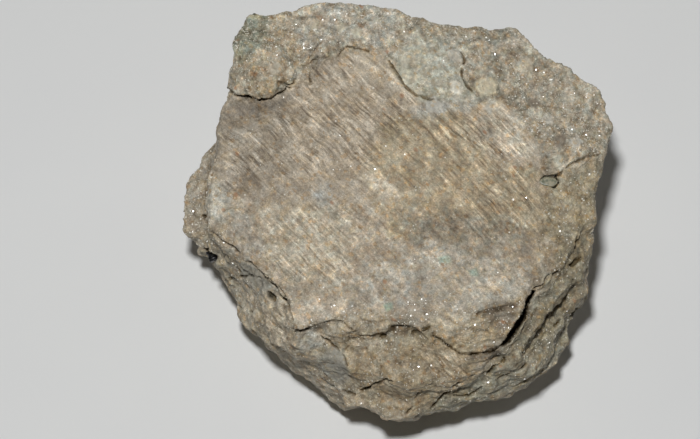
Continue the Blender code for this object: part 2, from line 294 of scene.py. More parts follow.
rock = {
    "node": "feldspar_matrix",
    "voxel": 0.34,  # mm, size of the even mesh that the relief is worked into
    "triangles": 190000,
    "baseFade": (0.15, 3.0),  # mm above the floor over which the relief grows
    "streakTurn": -46,  # degrees, the way the lamellae run on the cleavage face
    "wearRounds": 90,  # rounds of evening where ledges are worn away
    "foot": 2.2,  # mm that the front flanks stand out further near the floor
    "footHeights": (0, 2, 5, 9, 13, 18, 26),  # mm above the floor, and the share of the foot there
    "footShares": (0.3, 0.9, 1.0, 0.75, 0.25, -0.2, 0),
    "wander": 2.2,  # view units that the edges of mineral patches wander
    "farWander": 3,  # softness from which a patch wanders much further
    "knobRise": 1.1,  # mm
    "widestCrack": 0.8,  # mm, from which a crack no longer thins out and closes on its way
    "coarseSteps": 8,  # steps in which the faces grow towards the hidden sides
    "layersFrom": (350, 440),  # view units to the right, over which the layers of the front set in
    "hollowRounds": 4,  # rounds of evening that find the fine hollows, and the deep ones
    "deepRounds": 24,
    "rustColour": (158, 110, 72),
    "pitColour": (88, 76, 60),
    "rough": (0.5, 0.78),
    "ior": 1.53,
    "bump": (0.9, 0.28),  # strength, and height in mm
}


def nudge(place, reach, move):
    return {"at": place, "reach": reach, "move": move}


# Where the outline of the rock is drawn in or out, in view coordinates. A move goes right and down.
nudges = [
    nudge((545, 170), 7, (0, 2.6)),  # the pocket of the aquamarine
    nudge((545, 192), 7, (0, -2.6)),
    nudge((206, 143), 16, (7, 2)),
    nudge((216, 112), 18, (5, 0)),
    nudge((224, 80), 20, (9, 2)),
    nudge((230, 54), 12, (3, 0)),
    nudge((276, 8), 16, (1, 6)),
    nudge((324, 7), 16, (0, -4)),
    nudge((382, 9), 16, (0, -3)),
    nudge((427, 10), 22, (-1, 10)),
    nudge((462, 20), 16, (-1, 5)),
    nudge((488, 25), 14, (-1, 5)),
    nudge((518, 40), 13, (4, -7)),
    nudge((541, 50), 9, (-2, 2)),
    nudge((588, 88), 14, (5, -4)),
    nudge((604, 128), 24, (7, -1)),
    nudge((552, 362), 17, (6, 6)),
    nudge((395, 416), 22, (0, 3)),
    nudge((348, 401), 12, (-2, 5)),
    nudge((228, 284), 14, (-6, 1)),
    nudge((218, 266), 9, (-5, 1)),
    nudge((200, 250), 6, (-3, 5)),
    nudge((600, 195), 18, (-7, 0)),
    nudge((597, 262), 18, (-4, 0)),
    nudge((571, 341), 6, (3, 1)),
    nudge((561, 355), 6, (-5, -1)),
    nudge((462, 414), 38, (0, -8)),
    nudge((420, 421), 13, (0, -5)),
    nudge((214.5, 257), 5.5, (5, -1)),
    nudge((236, 58), 4, (3, 0)),
]

# Where the sighted side swells or sinks, along its normals in millimetres.
swells = [
    {"at": (262, 64), "reach": 24, "rise": 1.2},  # the knob and its foot
    {"at": (303, 53), "reach": 9, "rise": -1.0},
    {"at": (252, 99), "reach": 9, "rise": -0.7},
    {"at": (430, 70), "reach": 26, "rise": 0.8},
    {"at": (585, 150), "reach": 13, "rise": 0.9},
    {"at": (548, 171), "reach": 8, "rise": -0.7},
    {"at": (463, 325), "reach": 18, "rise": 1.9},  # the nose and the hollows under the lip
    {"at": (501, 318), "reach": 9, "rise": -1.7},
    {"at": (490, 351), "reach": 10, "rise": -1.6},
    {"at": (404, 335), "reach": 12, "rise": -2.0},
    {"at": (318, 330), "reach": 12, "rise": -1.5},
]

# Ledges whose edges are worn away: lines in view coordinates, with the reach of the wear.
wornLedges = [
    {"reach": 5.5,
     "line": [(584, 276), (576, 284), (567, 296), (557, 308), (547, 321), (537, 335), (526, 354)]},
    {"reach": 4.5, "line": [(486, 368), (474, 376), (462, 385), (450, 392), (440, 401)]},
    {"reach": 3.5, "line": [(209, 234), (222, 250), (236, 264), (248, 274)]},
]

# Minerals and stains by their own colours; the brown shade and the gap black are painted shade, and a few
# others also serve as painted shade or a painted highlight where marked.
minerals = {
    "pinkFeldspar": (176, 165, 147),
    "tanFeldspar": (169, 159, 140),
    # also painted shade, under the knob and round the nose; elsewhere a darker feldspar tone
    "duskFeldsparAndShade": (138, 128, 113),
    "paleFeldspar": (196, 186, 167),
    "creamFeldspar": (188, 179, 160),
    "ochreFeldspar": (172, 159, 134),
    "greyFeldspar": (157, 150, 137),
    "dullFeldspar": (153, 146, 129),
    "whiteQuartz": (179, 176, 165),
    "blueQuartz": (175, 177, 172),
    "smokyQuartz": (151, 147, 135),
    "milkQuartz": (214, 211, 197),
    "creamGrain": (197, 189, 165),
    "ashQuartz": (190, 186, 168),
    # also a painted highlight, along the lit top edge of the nose
    "iceQuartzAndHighlight": (184, 181, 170),
    "sugaryQuartz": (183, 181, 166),
    "bandGrey": (169, 162, 146),
    "bandTan": (172, 162, 142),
    "bandGreen": (141, 141, 124),
    "layerGreen": (142, 139, 123),
    "layerUmber": (134, 125, 104),
    # also painted shade, in the recess under the lip and the hollow by the aquamarine
    "umberAndShade": (156, 146, 122),
    "goldenTan": (163, 150, 125),
    # painted shade under the knob, along the lip and round the nose
    "shadeBrown": (104, 95, 82),
    "mint": (150, 182, 164),
    "rust": (172, 130, 88),
    "blackMica": (52, 56, 48),
    # painted shadow: near-black in the gap right of the nose, where the nose's shadow falls
    "gapShadowBlack": (32, 28, 22),
}


def patch(mineral, amount, soft, *outline, zone=None, clear=0.0):
    return {"mineral": mineral, "amount": amount, "soft": soft, "outline": list(outline),
            "zone": zone, "clear": clear}


# Patches of the side that is sighted, laid over each other in this order: mineral, share, width of the soft
# edge and outline, in view coordinates. Some of them are painted shade or a painted highlight, as marked.
patches = [
    # the striated face and its zones
    patch("greyFeldspar", 0.5, 9, (218, 112), (262, 104), (300, 118), (270, 170), (232, 200), (214, 160)),
    # painted shade under the knob
    patch("duskFeldsparAndShade", 0.5, 9, (224, 98), (262, 102), (286, 92), (290, 104), (266, 124), (226, 128)),
    patch("paleFeldspar", 0.55, 8, (345, 52), (375, 46), (404, 72), (416, 100), (400, 110), (370, 84)),
    patch("ochreFeldspar", 0.95, 8, (366, 150), (384, 118), (420, 106), (470, 112), (500, 158), (530, 176),
          (546, 206), (536, 236), (492, 240), (440, 232), (392, 232), (364, 196)),
    patch("paleFeldspar", 0.8, 4, (368, 176), (382, 172), (394, 186), (390, 202), (374, 198)),
    patch("duskFeldsparAndShade", 0.4, 7, (222, 172), (262, 165), (305, 178), (300, 205), (262, 212), (225, 205)),
    patch("duskFeldsparAndShade", 0.45, 4, (460, 112), (474, 114), (490, 128), (506, 144), (498, 148), (478, 136),
          (462, 124)),
    patch("paleFeldspar", 1.0, 4, (470, 104), (484, 99), (500, 105), (512, 113), (524, 125), (534, 141),
          (534, 156), (522, 154), (504, 140), (488, 124), (474, 114)),
    patch("milkQuartz", 0.3, 4, (482, 104), (500, 106), (514, 116), (526, 130), (532, 146), (518, 146),
          (500, 130), (484, 116)),
    patch("paleFeldspar", 0.6, 4, (470, 132), (482, 138), (496, 150), (508, 168), (500, 172), (486, 158),
          (472, 144)),
    patch("creamFeldspar", 0.9, 9, (262, 214), (300, 196), (340, 204), (356, 240), (338, 282), (296, 286),
          (268, 258)),
    patch("blueQuartz", 0.7, 4, (316, 188), (326, 182), (334, 192), (328, 206), (318, 202)),
    patch("dullFeldspar", 0.75, 7, (398, 214), (436, 214), (480, 214), (528, 226), (528, 248), (470, 254),
          (416, 246)),
    patch("duskFeldsparAndShade", 0.4, 8, (410, 216), (480, 216), (530, 228), (532, 262), (470, 262), (420, 252)),
    patch("whiteQuartz", 0.4, 8, (372, 262), (420, 248), (478, 252), (532, 268), (530, 292), (498, 304),
          (460, 308), (420, 306), (370, 304), (340, 294)),
    patch("greyFeldspar", 0.6, 8, (372, 270), (420, 276), (500, 300), (498, 318), (420, 306), (370, 300)),
    patch("paleFeldspar", 0.35, 6, (424, 264), (448, 258), (474, 268), (478, 292), (452, 302), (430, 290)),
    patch("paleFeldspar", 0.5, 4, (500, 270), (522, 270), (531, 284), (524, 299), (508, 302), (498, 286)),
    # painted shade under the lip, left of the nose
    patch("duskFeldsparAndShade", 0.5, 6, (384, 302), (410, 304), (434, 318), (428, 334), (400, 332), (384, 320)),
    patch("creamFeldspar", 0.8, 4, (205, 190), (219, 178), (230, 196), (234, 222), (222, 232), (208, 220)),
    patch("iceQuartzAndHighlight", 0.7, 4, (208, 188), (219, 182), (228, 198), (230, 218), (220, 226), (210, 216)),
    patch("milkQuartz", 0.4, 3.5, (208, 190), (218, 184), (225, 198), (226, 214), (218, 222), (210, 214)),
    patch("duskFeldsparAndShade", 0.45, 5, (222, 180), (246, 184), (262, 200), (240, 212), (222, 206)),
    patch("duskFeldsparAndShade", 0.4, 4, (222, 228), (244, 232), (258, 250), (238, 252)),
    patch("greyFeldspar", 0.7, 5, (222, 220), (244, 216), (262, 244), (256, 262), (236, 246)),
    patch("shadeBrown", 0.55, 4, (228, 97), (244, 102), (258, 106), (274, 98), (288, 90), (302, 92),
          (292, 104), (262, 114), (236, 112)),
    # the granular band
    patch("bandGrey", 1.0, 3, zone="band"),
    patch("bandTan", 0.75, 6, (244, 50), (262, 22), (292, 28), (300, 60), (284, 84), (256, 96), (236, 84)),
    patch("bandGreen", 1.0, 4, (234, 60), (234, 20), (262, 8), (268, 26), (256, 44), (246, 60)),
    patch("whiteQuartz", 0.75, 8, (300, 6), (350, 0), (396, 8), (400, 40), (370, 44), (330, 40), (300, 44)),
    patch("shadeBrown", 0.6, 2, (238, 94), (246, 96), (256, 98), (255, 101), (244, 99)),
    patch("duskFeldsparAndShade", 0.5, 5, (300, 30), (322, 24), (326, 44), (318, 66), (298, 68), (296, 48)),
    patch("duskFeldsparAndShade", 0.5, 5, (528, 140), (548, 130), (560, 138), (552, 156), (536, 158)),
    patch("sugaryQuartz", 1.0, 4, (400, 60), (403, 48), (411, 38), (430, 34), (446, 45), (464, 50),
          (464, 62), (459, 72), (464, 86), (477, 97), (461, 112), (437, 100), (416, 97), (403, 82),
          clear=0.5),
    patch("whiteQuartz", 0.8, 4, (428, 101), (450, 99), (472, 104), (466, 116), (436, 117)),
    patch("paleFeldspar", 0.6, 3.5, (302, 8), (318, 6), (324, 20), (308, 24)),
    patch("paleFeldspar", 0.5, 3.5, (290, 38), (306, 36), (308, 50), (294, 54)),
    patch("duskFeldsparAndShade", 0.7, 4, (500, 30), (526, 36), (530, 56), (514, 60), (502, 46)),
    patch("duskFeldsparAndShade", 0.5, 4, (298, 60), (320, 56), (338, 62), (330, 76), (304, 78)),
    patch("duskFeldsparAndShade", 0.5, 4, (528, 76), (560, 78), (566, 90), (540, 94)),
    patch("creamFeldspar", 0.9, 2.5, (551, 157), (564, 149), (580, 139), (590, 140), (587, 149), (570, 159),
          (561, 168), (552, 167)),
    patch("blueQuartz", 0.6, 5, (404, 104), (430, 98), (452, 106), (440, 118), (412, 118)),
    # shoulders and walls
    patch("greyFeldspar", 0.7, 6, (186, 186), (200, 164), (214, 150), (212, 172), (204, 200), (204, 232),
          (190, 236)),
    patch("umberAndShade", 0.8, 6, (548, 182), (604, 158), (598, 214), (590, 262), (562, 252), (540, 228)),
    patch("goldenTan", 0.8, 6, (470, 312), (524, 298), (516, 326), (496, 346), (470, 352), (448, 344),
          (430, 326)),
    patch("dullFeldspar", 0.9, 4, (204, 232), (246, 256), (284, 292), (294, 330), (262, 344), (232, 304),
          (214, 268)),
    patch("smokyQuartz", 0.8, 4, (238, 262), (260, 274), (276, 290), (284, 308), (264, 314), (250, 300),
          (236, 290)),
    patch("paleFeldspar", 0.5, 6, (226, 262), (262, 286), (286, 310), (300, 334), (280, 352), (244, 316)),
    patch("tanFeldspar", 0.5, 4, (262, 310), (290, 302), (300, 330), (298, 348), (280, 350), (264, 330)),
    patch("whiteQuartz", 0.9, 3, (296, 334), (312, 328), (324, 342), (318, 356), (300, 350)),
    patch("smokyQuartz", 1.0, 3, (322, 346), (332, 342), (346, 356), (350, 376), (344, 390), (328, 378),
          (318, 366)),
    patch("goldenTan", 0.9, 6, (352, 326), (380, 340), (430, 330), (470, 356), (476, 376), (450, 396),
          (414, 414), (370, 408), (352, 384), (344, 348)),
    # painted shade in the recess under the lip
    patch("umberAndShade", 0.6, 4, (380, 340), (392, 330), (428, 327), (430, 336), (404, 344)),
    patch("layerGreen", 0.9, 6, (588, 250), (584, 300), (568, 345), (530, 386), (470, 408), (412, 422),
          (440, 396), (480, 374), (512, 346), (536, 300), (560, 268)),
    patch("layerUmber", 0.95, 5, (558, 238), (586, 236), (586, 300), (570, 330), (558, 300), (552, 262)),
    patch("layerUmber", 0.6, 5, (536, 300), (556, 280), (566, 300), (540, 340), (520, 366), (500, 372),
          (516, 340)),
    patch("duskFeldsparAndShade", 0.3, 5, (354, 342), (400, 338), (420, 360), (416, 404), (380, 404), (356, 384)),
    patch("paleFeldspar", 0.12, 5, (484, 384), (500, 350), (540, 344), (552, 360), (530, 386), (496, 398)),
    patch("paleFeldspar", 0.3, 4, (424, 344), (462, 350), (466, 380), (430, 388)),
    patch("duskFeldsparAndShade", 0.2, 6, (566, 116), (600, 110), (610, 140), (604, 160), (572, 150)),
    # painted shade in the hollow above and left of the aquamarine
    patch("umberAndShade", 0.7, 3, (516, 168), (528, 162), (540, 172), (536, 182), (522, 178)),
    # painted shade in the gaps round the nose and under the lip, a painted highlight along the nose's top
    # edge, and tan and paler tones beside them
    patch("goldenTan", 0.9, 3, (484, 306), (500, 302), (518, 306), (512, 324), (500, 338), (488, 330)),
    patch("duskFeldsparAndShade", 0.8, 3, (484, 302), (506, 300), (520, 302), (514, 322), (500, 336), (488, 326)),
    # painted highlight along the top edge of the nose
    patch("iceQuartzAndHighlight", 0.35, 3, (452, 300), (480, 296), (504, 284), (520, 274), (531, 284), (524, 296),
          (504, 304), (478, 311), (456, 312)),
    patch("shadeBrown", 0.35, 2, (532, 295), (520, 300), (504, 305), (488, 309), (488, 314), (504, 311),
          (518, 307), (528, 303)),
    patch("creamFeldspar", 0.6, 3, (440, 318), (466, 314), (484, 322), (480, 338), (458, 344), (442, 334)),
    patch("shadeBrown", 0.45, 2, (292, 323), (306, 328), (320, 322), (336, 318), (338, 323), (322, 329),
          (306, 335), (295, 332)),
    patch("shadeBrown", 0.4, 2, (382, 334), (392, 326), (404, 325), (430, 324), (434, 331), (414, 336),
          (398, 339)),
    patch("shadeBrown", 0.75, 3, (466, 352), (480, 351), (496, 345), (504, 346), (500, 356), (484, 361),
          (470, 359)),
    patch("shadeBrown", 0.5, 3, (522, 272), (540, 270), (546, 280), (534, 286), (524, 280)),
    patch("paleFeldspar", 0.6, 3, (348, 337), (372, 333), (378, 344), (358, 349)),
    # painted shadow filling the gap right of the nose
    patch("gapShadowBlack", 0.95, 1, (532, 290), (534.5, 292), (530.5, 303), (526.5, 315), (518.5, 330),
          (510, 341), (502, 347), (503, 343), (509.5, 333), (517, 322), (523.5, 308), (528.5, 297)),
    # small specks
    patch("paleFeldspar", 1.0, 1, (276, 49), (279, 49), (279.5, 60), (276.5, 60)),
    patch("paleFeldspar", 1.0, 1, (361, 42), (367, 42), (369, 47), (363, 47)),
    patch("paleFeldspar", 1.0, 1, (382, 75), (386, 77), (386, 80), (382, 78)),
    patch("rust", 0.6, 1.5, (316, 15), (320, 16), (323, 21), (321, 22)),
    patch("rust", 0.6, 1.5, (356, 22), (361, 24), (366, 31), (363, 31)),
    patch("rust", 0.7, 1.5, (250, 74), (255, 74), (255, 78), (251, 78)),
    patch("rust", 0.5, 2, (260, 67), (266, 67), (266, 72), (261, 72)),
    patch("mint", 0.6, 1.5, (385, 304), (391, 302), (393, 309), (387, 311)),
    patch("mint", 0.5, 2, (438, 258), (448, 254), (452, 262), (442, 266)),
    patch("mint", 0.5, 2, (469, 269), (477, 268), (479, 276), (471, 277)),
    patch("blackMica", 0.9, 0.8, (553.5, 174.5), (557, 175.5), (556, 181), (553.5, 180)),
    patch("blackMica", 0.8, 0.8, (557, 178.5), (561, 180), (560, 183), (557, 182)),
    patch("blackMica", 0.7, 1.2, (269, 294), (274, 296), (274, 300), (270, 298)),
]


def clast(mineral, rise, *outline):
    return {"mineral": mineral, "rise": rise, "outline": list(outline)}


# Single grains of quartz and feldspar, smooth inside: mineral, rise in millimetres and outline.
clasts = [
    clast("iceQuartzAndHighlight", 0.3, (446, 52), (452, 48), (461, 50), (465, 56), (463, 63), (452, 60)),
    clast("milkQuartz", 0.4, (449, 81), (456, 80), (462, 87), (460, 94), (453, 93)),
    clast("creamGrain", 0.5, (473, 83), (480, 78), (491, 78), (498, 84), (496, 92), (489, 97), (480, 95)),
    clast("bandTan", 0.3, (520, 61), (526, 57), (533, 62), (533, 71), (527, 77), (520, 71)),
    clast("iceQuartzAndHighlight", 0.3, (543, 116), (549, 113), (555, 118), (552, 124), (545, 124)),
    clast("ashQuartz", 0.5, (552, 157), (559, 154), (564, 160), (560, 168), (553, 166)),
    clast("ashQuartz", 0.3, (400, 60), (404, 52), (411, 56), (408, 67), (412, 80), (421, 91), (412, 91),
          (403, 78)),
    clast("iceQuartzAndHighlight", 0.2, (424, 101), (435, 97), (441, 105), (437, 114), (428, 112)),
    clast("creamFeldspar", 0.3, (309, 21), (315, 16), (321, 21), (316, 29), (310, 28)),
    clast("ashQuartz", 0.3, (351, 32), (356, 26), (362, 31), (360, 38), (353, 39)),
    clast("iceQuartzAndHighlight", 0.3, (483, 108), (490, 105), (494, 110), (489, 115)),
    clast("duskFeldsparAndShade", -0.2, (554, 137), (561, 133), (566, 138), (563, 146), (556, 146)),
    clast("duskFeldsparAndShade", -0.2, (528, 100), (536, 97), (541, 104), (535, 110)),
    clast("iceQuartzAndHighlight", 0.3, (570, 140), (578, 136), (584, 141), (578, 149), (571, 147)),
    clast("creamFeldspar", 0.3, (270, 66), (277, 62), (283, 67), (279, 75), (271, 73)),
    clast("ashQuartz", 0.3, (334, 26), (341, 23), (346, 28), (341, 34)),
    clast("smokyQuartz", -0.3, (238, 262), (252, 264), (266, 278), (268, 290), (256, 288), (244, 277)),
    clast("smokyQuartz", -0.3, (325, 350), (334, 346), (343, 355), (348, 370), (343, 386), (333, 376),
          (325, 363)),
]

bandOutline = [  # the granular band along the back
    (232, 92), (250, 98), (262, 99), (275, 93), (286, 87), (298, 81), (306, 66), (328, 58), (350, 48),
    (368, 45), (384, 52), (398, 70), (408, 88), (420, 97), (440, 99), (462, 108), (474, 104), (490, 99),
    (508, 103), (520, 114), (532, 132), (538, 150), (550, 170), (562, 170), (580, 162), (604, 154),
    (640, 100), (600, 20), (430, -20), (220, -20), (200, 80),
]
faceOutline = [  # the cleavage face
    (214, 110), (232, 96), (262, 101), (298, 83), (328, 60), (368, 47), (398, 72), (420, 98), (470, 106),
    (508, 102), (536, 146), (550, 174), (540, 236), (530, 290), (500, 304), (460, 310), (350, 312),
    (300, 326), (284, 296), (256, 268), (226, 244), (206, 220), (204, 196), (214, 160),
]
boldStreaks = [  # where its lamellae stand out most
    (296, 84), (328, 60), (366, 47), (398, 72), (420, 100), (470, 106), (508, 104), (536, 150), (534, 226),
    (470, 236), (420, 190), (360, 172), (300, 176), (230, 190), (218, 140), (262, 130),
]
creamStreaks = [(262, 214), (300, 198), (352, 208), (358, 244), (338, 278), (300, 282), (270, 256)]
sharpStreaks = [
    (372, 128), (420, 104), (470, 104), (508, 104), (536, 150), (534, 232), (470, 240), (400, 236),
    (368, 196),
]
calmOutline = [(368, 152), (420, 138), (472, 158), (484, 200), (440, 218), (388, 212), (364, 186)]
softFace = [  # where the lamellae fade into blotches
    (262, 214), (320, 196), (380, 214), (440, 214), (530, 226), (530, 292), (460, 310), (350, 312),
    (300, 326), (250, 262), (206, 220), (208, 186), (236, 196),
]
wallStreaks = [  # cleavage faces on the walls
    [(260, 312), (292, 300), (300, 330), (298, 350), (284, 354), (264, 334)],
    [(418, 336), (440, 342), (470, 364), (468, 384), (446, 400), (426, 372)],
    [(344, 330), (372, 336), (356, 352), (340, 344)],
]
knobOutline = [
    (226, 93), (241, 96), (256, 100), (266, 97), (276, 92), (288, 88), (294, 76), (292, 60), (276, 44),
    (240, 44),
]
glitters = [  # where mica glitters most
    {"share": 0.45,
     "outline": [(296, 298), (400, 300), (500, 292), (522, 306), (500, 340), (440, 332), (300, 330)]},
    {"share": 0.8,
     "outline": [(186, 176), (210, 168), (236, 190), (232, 244), (204, 252), (186, 236)]},
    {"share": 1.0,
     "outline": [(262, 12), (330, 6), (400, 12), (480, 32), (470, 56), (400, 40), (320, 48), (262, 50)]},
    {"share": 1.0,
     "outline": [(500, 64), (560, 70), (604, 112), (604, 158), (540, 140), (506, 104)]},
]


def crack(width, depth, *line, slot=0.0):
    return {"width": width, "depth": depth, "line": list(line), "slot": slot}


# Cracks of the side that is sighted: width and depth in millimetres, line in view coordinates. A slot is
# pushed in along the line of sight, so that it stays dark.
cracks = [
    # under the knob and along the band's foot
    crack(0.9, 1.2, (232, 91.5), (236, 94.5), (241, 96.5)),
    crack(0.7, 1.9, (241, 96.5), (248, 99), (256, 101), (262, 99.5), (266, 97), (270.5, 95.5),
          (274.5, 92.5)),
    crack(0.45, 1.2, (274.5, 92.5), (279, 92.5), (282, 92.6), (285, 90.4), (286, 86.6), (290, 87.7),
          (295, 87.7), (304.8, 87.7), (308, 85), (310.8, 84), (310.8, 78), (313, 68.2)),
    crack(0.35, 0.8, (276.6, 80.7), (280, 81), (284.2, 81.8), (286.4, 84), (292.9, 84), (295, 78),
          (295.6, 71.5)),
    crack(0.3, 0.7, (301.6, 64.4), (310.3, 63.3), (313, 60.6), (319, 59.5), (331, 55.7), (337.4, 56.3),
          (340.6, 50.8), (347, 46.5), (354.7, 48.1), (368.8, 50.8)),
    crack(0.3, 0.6, (308, 59.5), (311.3, 54.1), (316.8, 46.5), (322.2, 42.2), (325.4, 45.4)),
    crack(0.25, 0.4, (338.5, 59.5), (345, 60.6)),
    crack(0.5, 1.0, (388, 62), (398, 75), (407, 88), (416, 96), (426, 97.5), (438, 100)),
    crack(0.5, 0.8, (455, 49), (464, 54), (465, 60), (462, 67), (462, 78), (468, 87), (477, 96)),
    crack(0.4, 1.0, (554, 178.5), (563, 171), (573, 163.5), (585, 158), (598, 155)),
    # round the left shoulder
    crack(0.3, 0.5, (214, 146), (215, 160), (210, 181), (204, 197), (202, 211)),
    crack(0.6, 1.4, (202, 211), (205.5, 224), (212, 231), (220, 240), (225, 244), (232, 247), (241, 256),
          (251, 265)),
    crack(0.45, 1.0, (251, 265), (259, 272), (267, 278), (272, 283), (282, 291), (286, 301)),
    crack(0.25, 0.4, (224, 211.5), (231, 207.5)),
    crack(0.6, 1.2, (240, 276.5), (250, 276.5), (257, 279.5)),
    crack(0.7, 1.0, (224, 279), (231.5, 279)),
    crack(1.5, 2.2, (269.5, 295), (274, 298)),
    crack(0.4, 0.7, (237, 305), (243, 309.5), (252, 313)),
    # the front lip
    crack(0.65, 1.1, (295, 327), (300, 331), (307, 331), (314, 327.5), (321, 325), (328, 322.5),
          (335, 321.5)),
    crack(0.35, 0.9, (335, 321.5), (341, 321.5), (346, 324.5), (352, 329)),
    crack(0.3, 0.5, (286, 301), (291, 314), (295, 327)),
    crack(0.5, 0.9, (380, 338), (386, 335), (391, 333), (393, 328.5), (402, 328), (411, 330), (421, 328.5),
          (430, 327.5)),
    crack(0.5, 1.0, (413.5, 335), (421, 332.5), (430, 328)),
    crack(0.4, 0.8, (322, 340), (331, 344), (338, 350), (344, 356), (347, 365)),
    crack(0.5, 1.1, (361, 391), (372, 386), (378, 383.5), (385, 380.5), (391, 381)),
    crack(0.35, 0.7, (380, 360.5), (392, 359)),
    crack(0.5, 0.9, (343.5, 392), (354, 396)),
    crack(0.5, 1.1, (422, 392), (416, 397), (415, 403), (411.5, 409), (406, 413.5)),
    # round the nose
    crack(1.6, 0.45, (529, 299), (518, 304), (505, 308), (490, 312), (478, 315)),
    crack(0.7, 0.8, (533, 292), (529, 302), (525.5, 312), (522, 321), slot=5.0),
    crack(1.3, 0.8, (523, 318), (516.5, 328), (510, 337), slot=6.5),
    crack(0.9, 0.8, (514, 332), (510, 339), (505, 344), slot=5.0),
    crack(0.3, 0.9, (505, 344), (497, 347), (491.5, 349.5), (481, 353), (471, 354), slot=2.2),
    crack(0.2, 0.9, (471, 354), (462, 353), (455, 350), (447.5, 345), (443, 341), (434, 335.5), slot=1.0),
    # between the layers at the right front
    crack(0.5, 1.2, (578, 234), (576.5, 243), (574.5, 247.5)),
    crack(0.5, 1.3, (563, 268), (557.5, 272.5), (550, 277), (544, 283.5), (535.5, 288)),
    crack(0.8, 1.4, (581, 256.5), (575, 261.5), (572, 264.5)),
    crack(0.5, 0.9, (573.5, 280), (570.5, 285)),
    crack(0.3, 0.6, (560, 303), (554.5, 308), (548.5, 316.5), (544, 324), (537, 332.5), (534, 338.5),
          (531, 346), (525, 353), (524, 355.5)),
    crack(0.4, 0.9, (528, 362), (524, 366.5), (518, 372), (510.5, 377)),
    crack(0.7, 1.2, (580, 309), (575, 312), (566, 319.5)),
    crack(0.8, 1.4, (559, 319.5), (554.5, 326)),
    crack(0.4, 0.7, (568, 306), (563.5, 310.5)),
    crack(0.6, 1.3, (511, 356), (505, 359), (502, 364), (496, 367), (491.5, 371), (488.5, 373)),
    crack(0.35, 0.8, (472.5, 376.5), (463.5, 382), (455, 386), (446, 393.5), (441.5, 398), (435.5, 404),
          (428.5, 410.5), (422.5, 415), (415, 419)),
    crack(0.4, 0.9, (469.5, 396), (459, 396.5), (450.5, 397), (444.5, 398.5)),
    crack(0.35, 0.8, (512, 371), (504.5, 376.5), (500, 377.5)),
    crack(0.35, 0.8, (481, 387), (474, 393), (471, 395)),
]


def evenMesh():
    # the solid on an even mesh, fine enough for the relief
    piece = bpy.data.objects.new("feldspar_rock", meshOf(meshCopy(rock["node"]), "feldspar_rock"))
    scene.collection.objects.link(piece)
    even = piece.modifiers.new("even", "REMESH")
    even.mode = "VOXEL"
    even.voxel_size = rock["voxel"] * mm
    baked(piece)
    return piece


def arrays(mesh):
    # points in millimetres, and their normals
    return (listed(mesh.vertices, "co", 3).astype(float) / mm,
            listed(mesh.vertices, "normal", 3).astype(float))


def regionsOf(points, normals):
    # shares of each kind of surface, 0 to 1
    across, down = inView(points)
    facing = smooth(0.02, 0.22, -(normals @ np.array(sightLine)))
    ragged = rock["wander"]
    fineA, fineB = grainOf(points, 1.1, 2), grainOf(points, 1.1, 4)
    wideA, wideB = grainOf(points, 3.2, 1), grainOf(points, 3.2, 3)
    patchAcross = across + 9 * grainOf(points, 11, 5) + 6 * wideA + 3.5 * fineA
    patchDown = down + 9 * grainOf(points, 11, 6) + 6 * wideB + 3.5 * fineB
    across = across + ragged * wideA + 0.5 * ragged * fineA
    down = down + ragged * wideB + 0.5 * ragged * fineB
    up = smooth(0.45, 0.8, normals[:, 2])
    shown = {
        "across": across,
        "down": down,
        "patchAcross": patchAcross,
        "patchDown": patchDown,
        "facing": facing,
        "band": insideOf(bandOutline, across, down, 2.5) * facing,
        "face": insideOf(faceOutline, across, down, 3) * facing,
        "blotchy": insideOf(softFace, patchAcross, patchDown, 12),
        "bold": np.maximum(insideOf(boldStreaks, patchAcross, patchDown, 14),
                           0.7 * insideOf(creamStreaks, patchAcross, patchDown, 12)),
        "sharp": insideOf(sharpStreaks, patchAcross, patchDown, 12),
    }
    hiddenBand = (1 - facing) * smooth(-0.1, 0.35, grainOf(points, 26, 9) + 0.25 * grainOf(points, 7, 10))
    shown["band"] = np.maximum(shown["band"], 0.85 * hiddenBand)
    calm = 1 - 0.4 * insideOf(calmOutline, patchAcross, patchDown, 10)
    shown["streaks"] = shown["face"] * (0.38 + 0.62 * shown["bold"]) * (0.55 + 0.45 * up) * calm
    shown["wall"] = np.clip(1 - shown["face"] - shown["band"], 0, 1)
    for outline in wallStreaks:
        shown["streaks"] = np.maximum(shown["streaks"], 0.9 * insideOf(outline, across, down, 5) * facing)
    # the layers show at the right front, and in zones of the hidden sides
    layers = facing * (0.2 + 0.8 * smooth(*rock["layersFrom"], across))
    layers += (1 - facing) * smooth(-0.3, 0.2, grainOf(points, 20, 25))
    shown["layered"] = shown["wall"] * layers
    return shown


def nudged(points):
    # the outline drawn in or out, and the foot of the front flanks filled
    across, down = inView(points)
    moved = points.copy()
    low, high = rock["baseFade"]
    for pull in nudges:
        apart = np.hypot(across - pull["at"][0], down - pull["at"][1])
        share = np.exp(-(apart / pull["reach"]) ** 2) * smooth(low, high, points[:, 2])
        right, lower = pull["move"]
        step = (np.array(sightRight) * right - np.array(sightUp) * lower) * viewUnit
        moved += share[:, None] * step
    radius = np.hypot(points[:, 0], points[:, 1])
    outward = points[:, :2] / np.maximum(radius, 1)[:, None]
    front = smooth(-0.3, 0.3, -outward[:, 1]) * smooth(20, 32, radius) * smooth(low, high, points[:, 2])
    profile = np.interp(points[:, 2], rock["footHeights"], rock["footShares"])
    moved[:, :2] += outward * (rock["foot"] * front * profile)[:, None]
    return moved


def swelling(points, facing):
    # how far the sighted side stands out or lies back, in millimetres
    across, down = inView(points)
    rise = rock["knobRise"] * insideOf(knobOutline, across, down, 3)
    for swell in swells:
        apart = np.hypot(across - swell["at"][0], down - swell["at"][1])
        rise += swell["rise"] * np.exp(-(apart / swell["reach"]) ** 2)
    for grain in clasts:
        rise += grain["rise"] * insideOf(grain["outline"], across, down, 2)
    return rise * facing


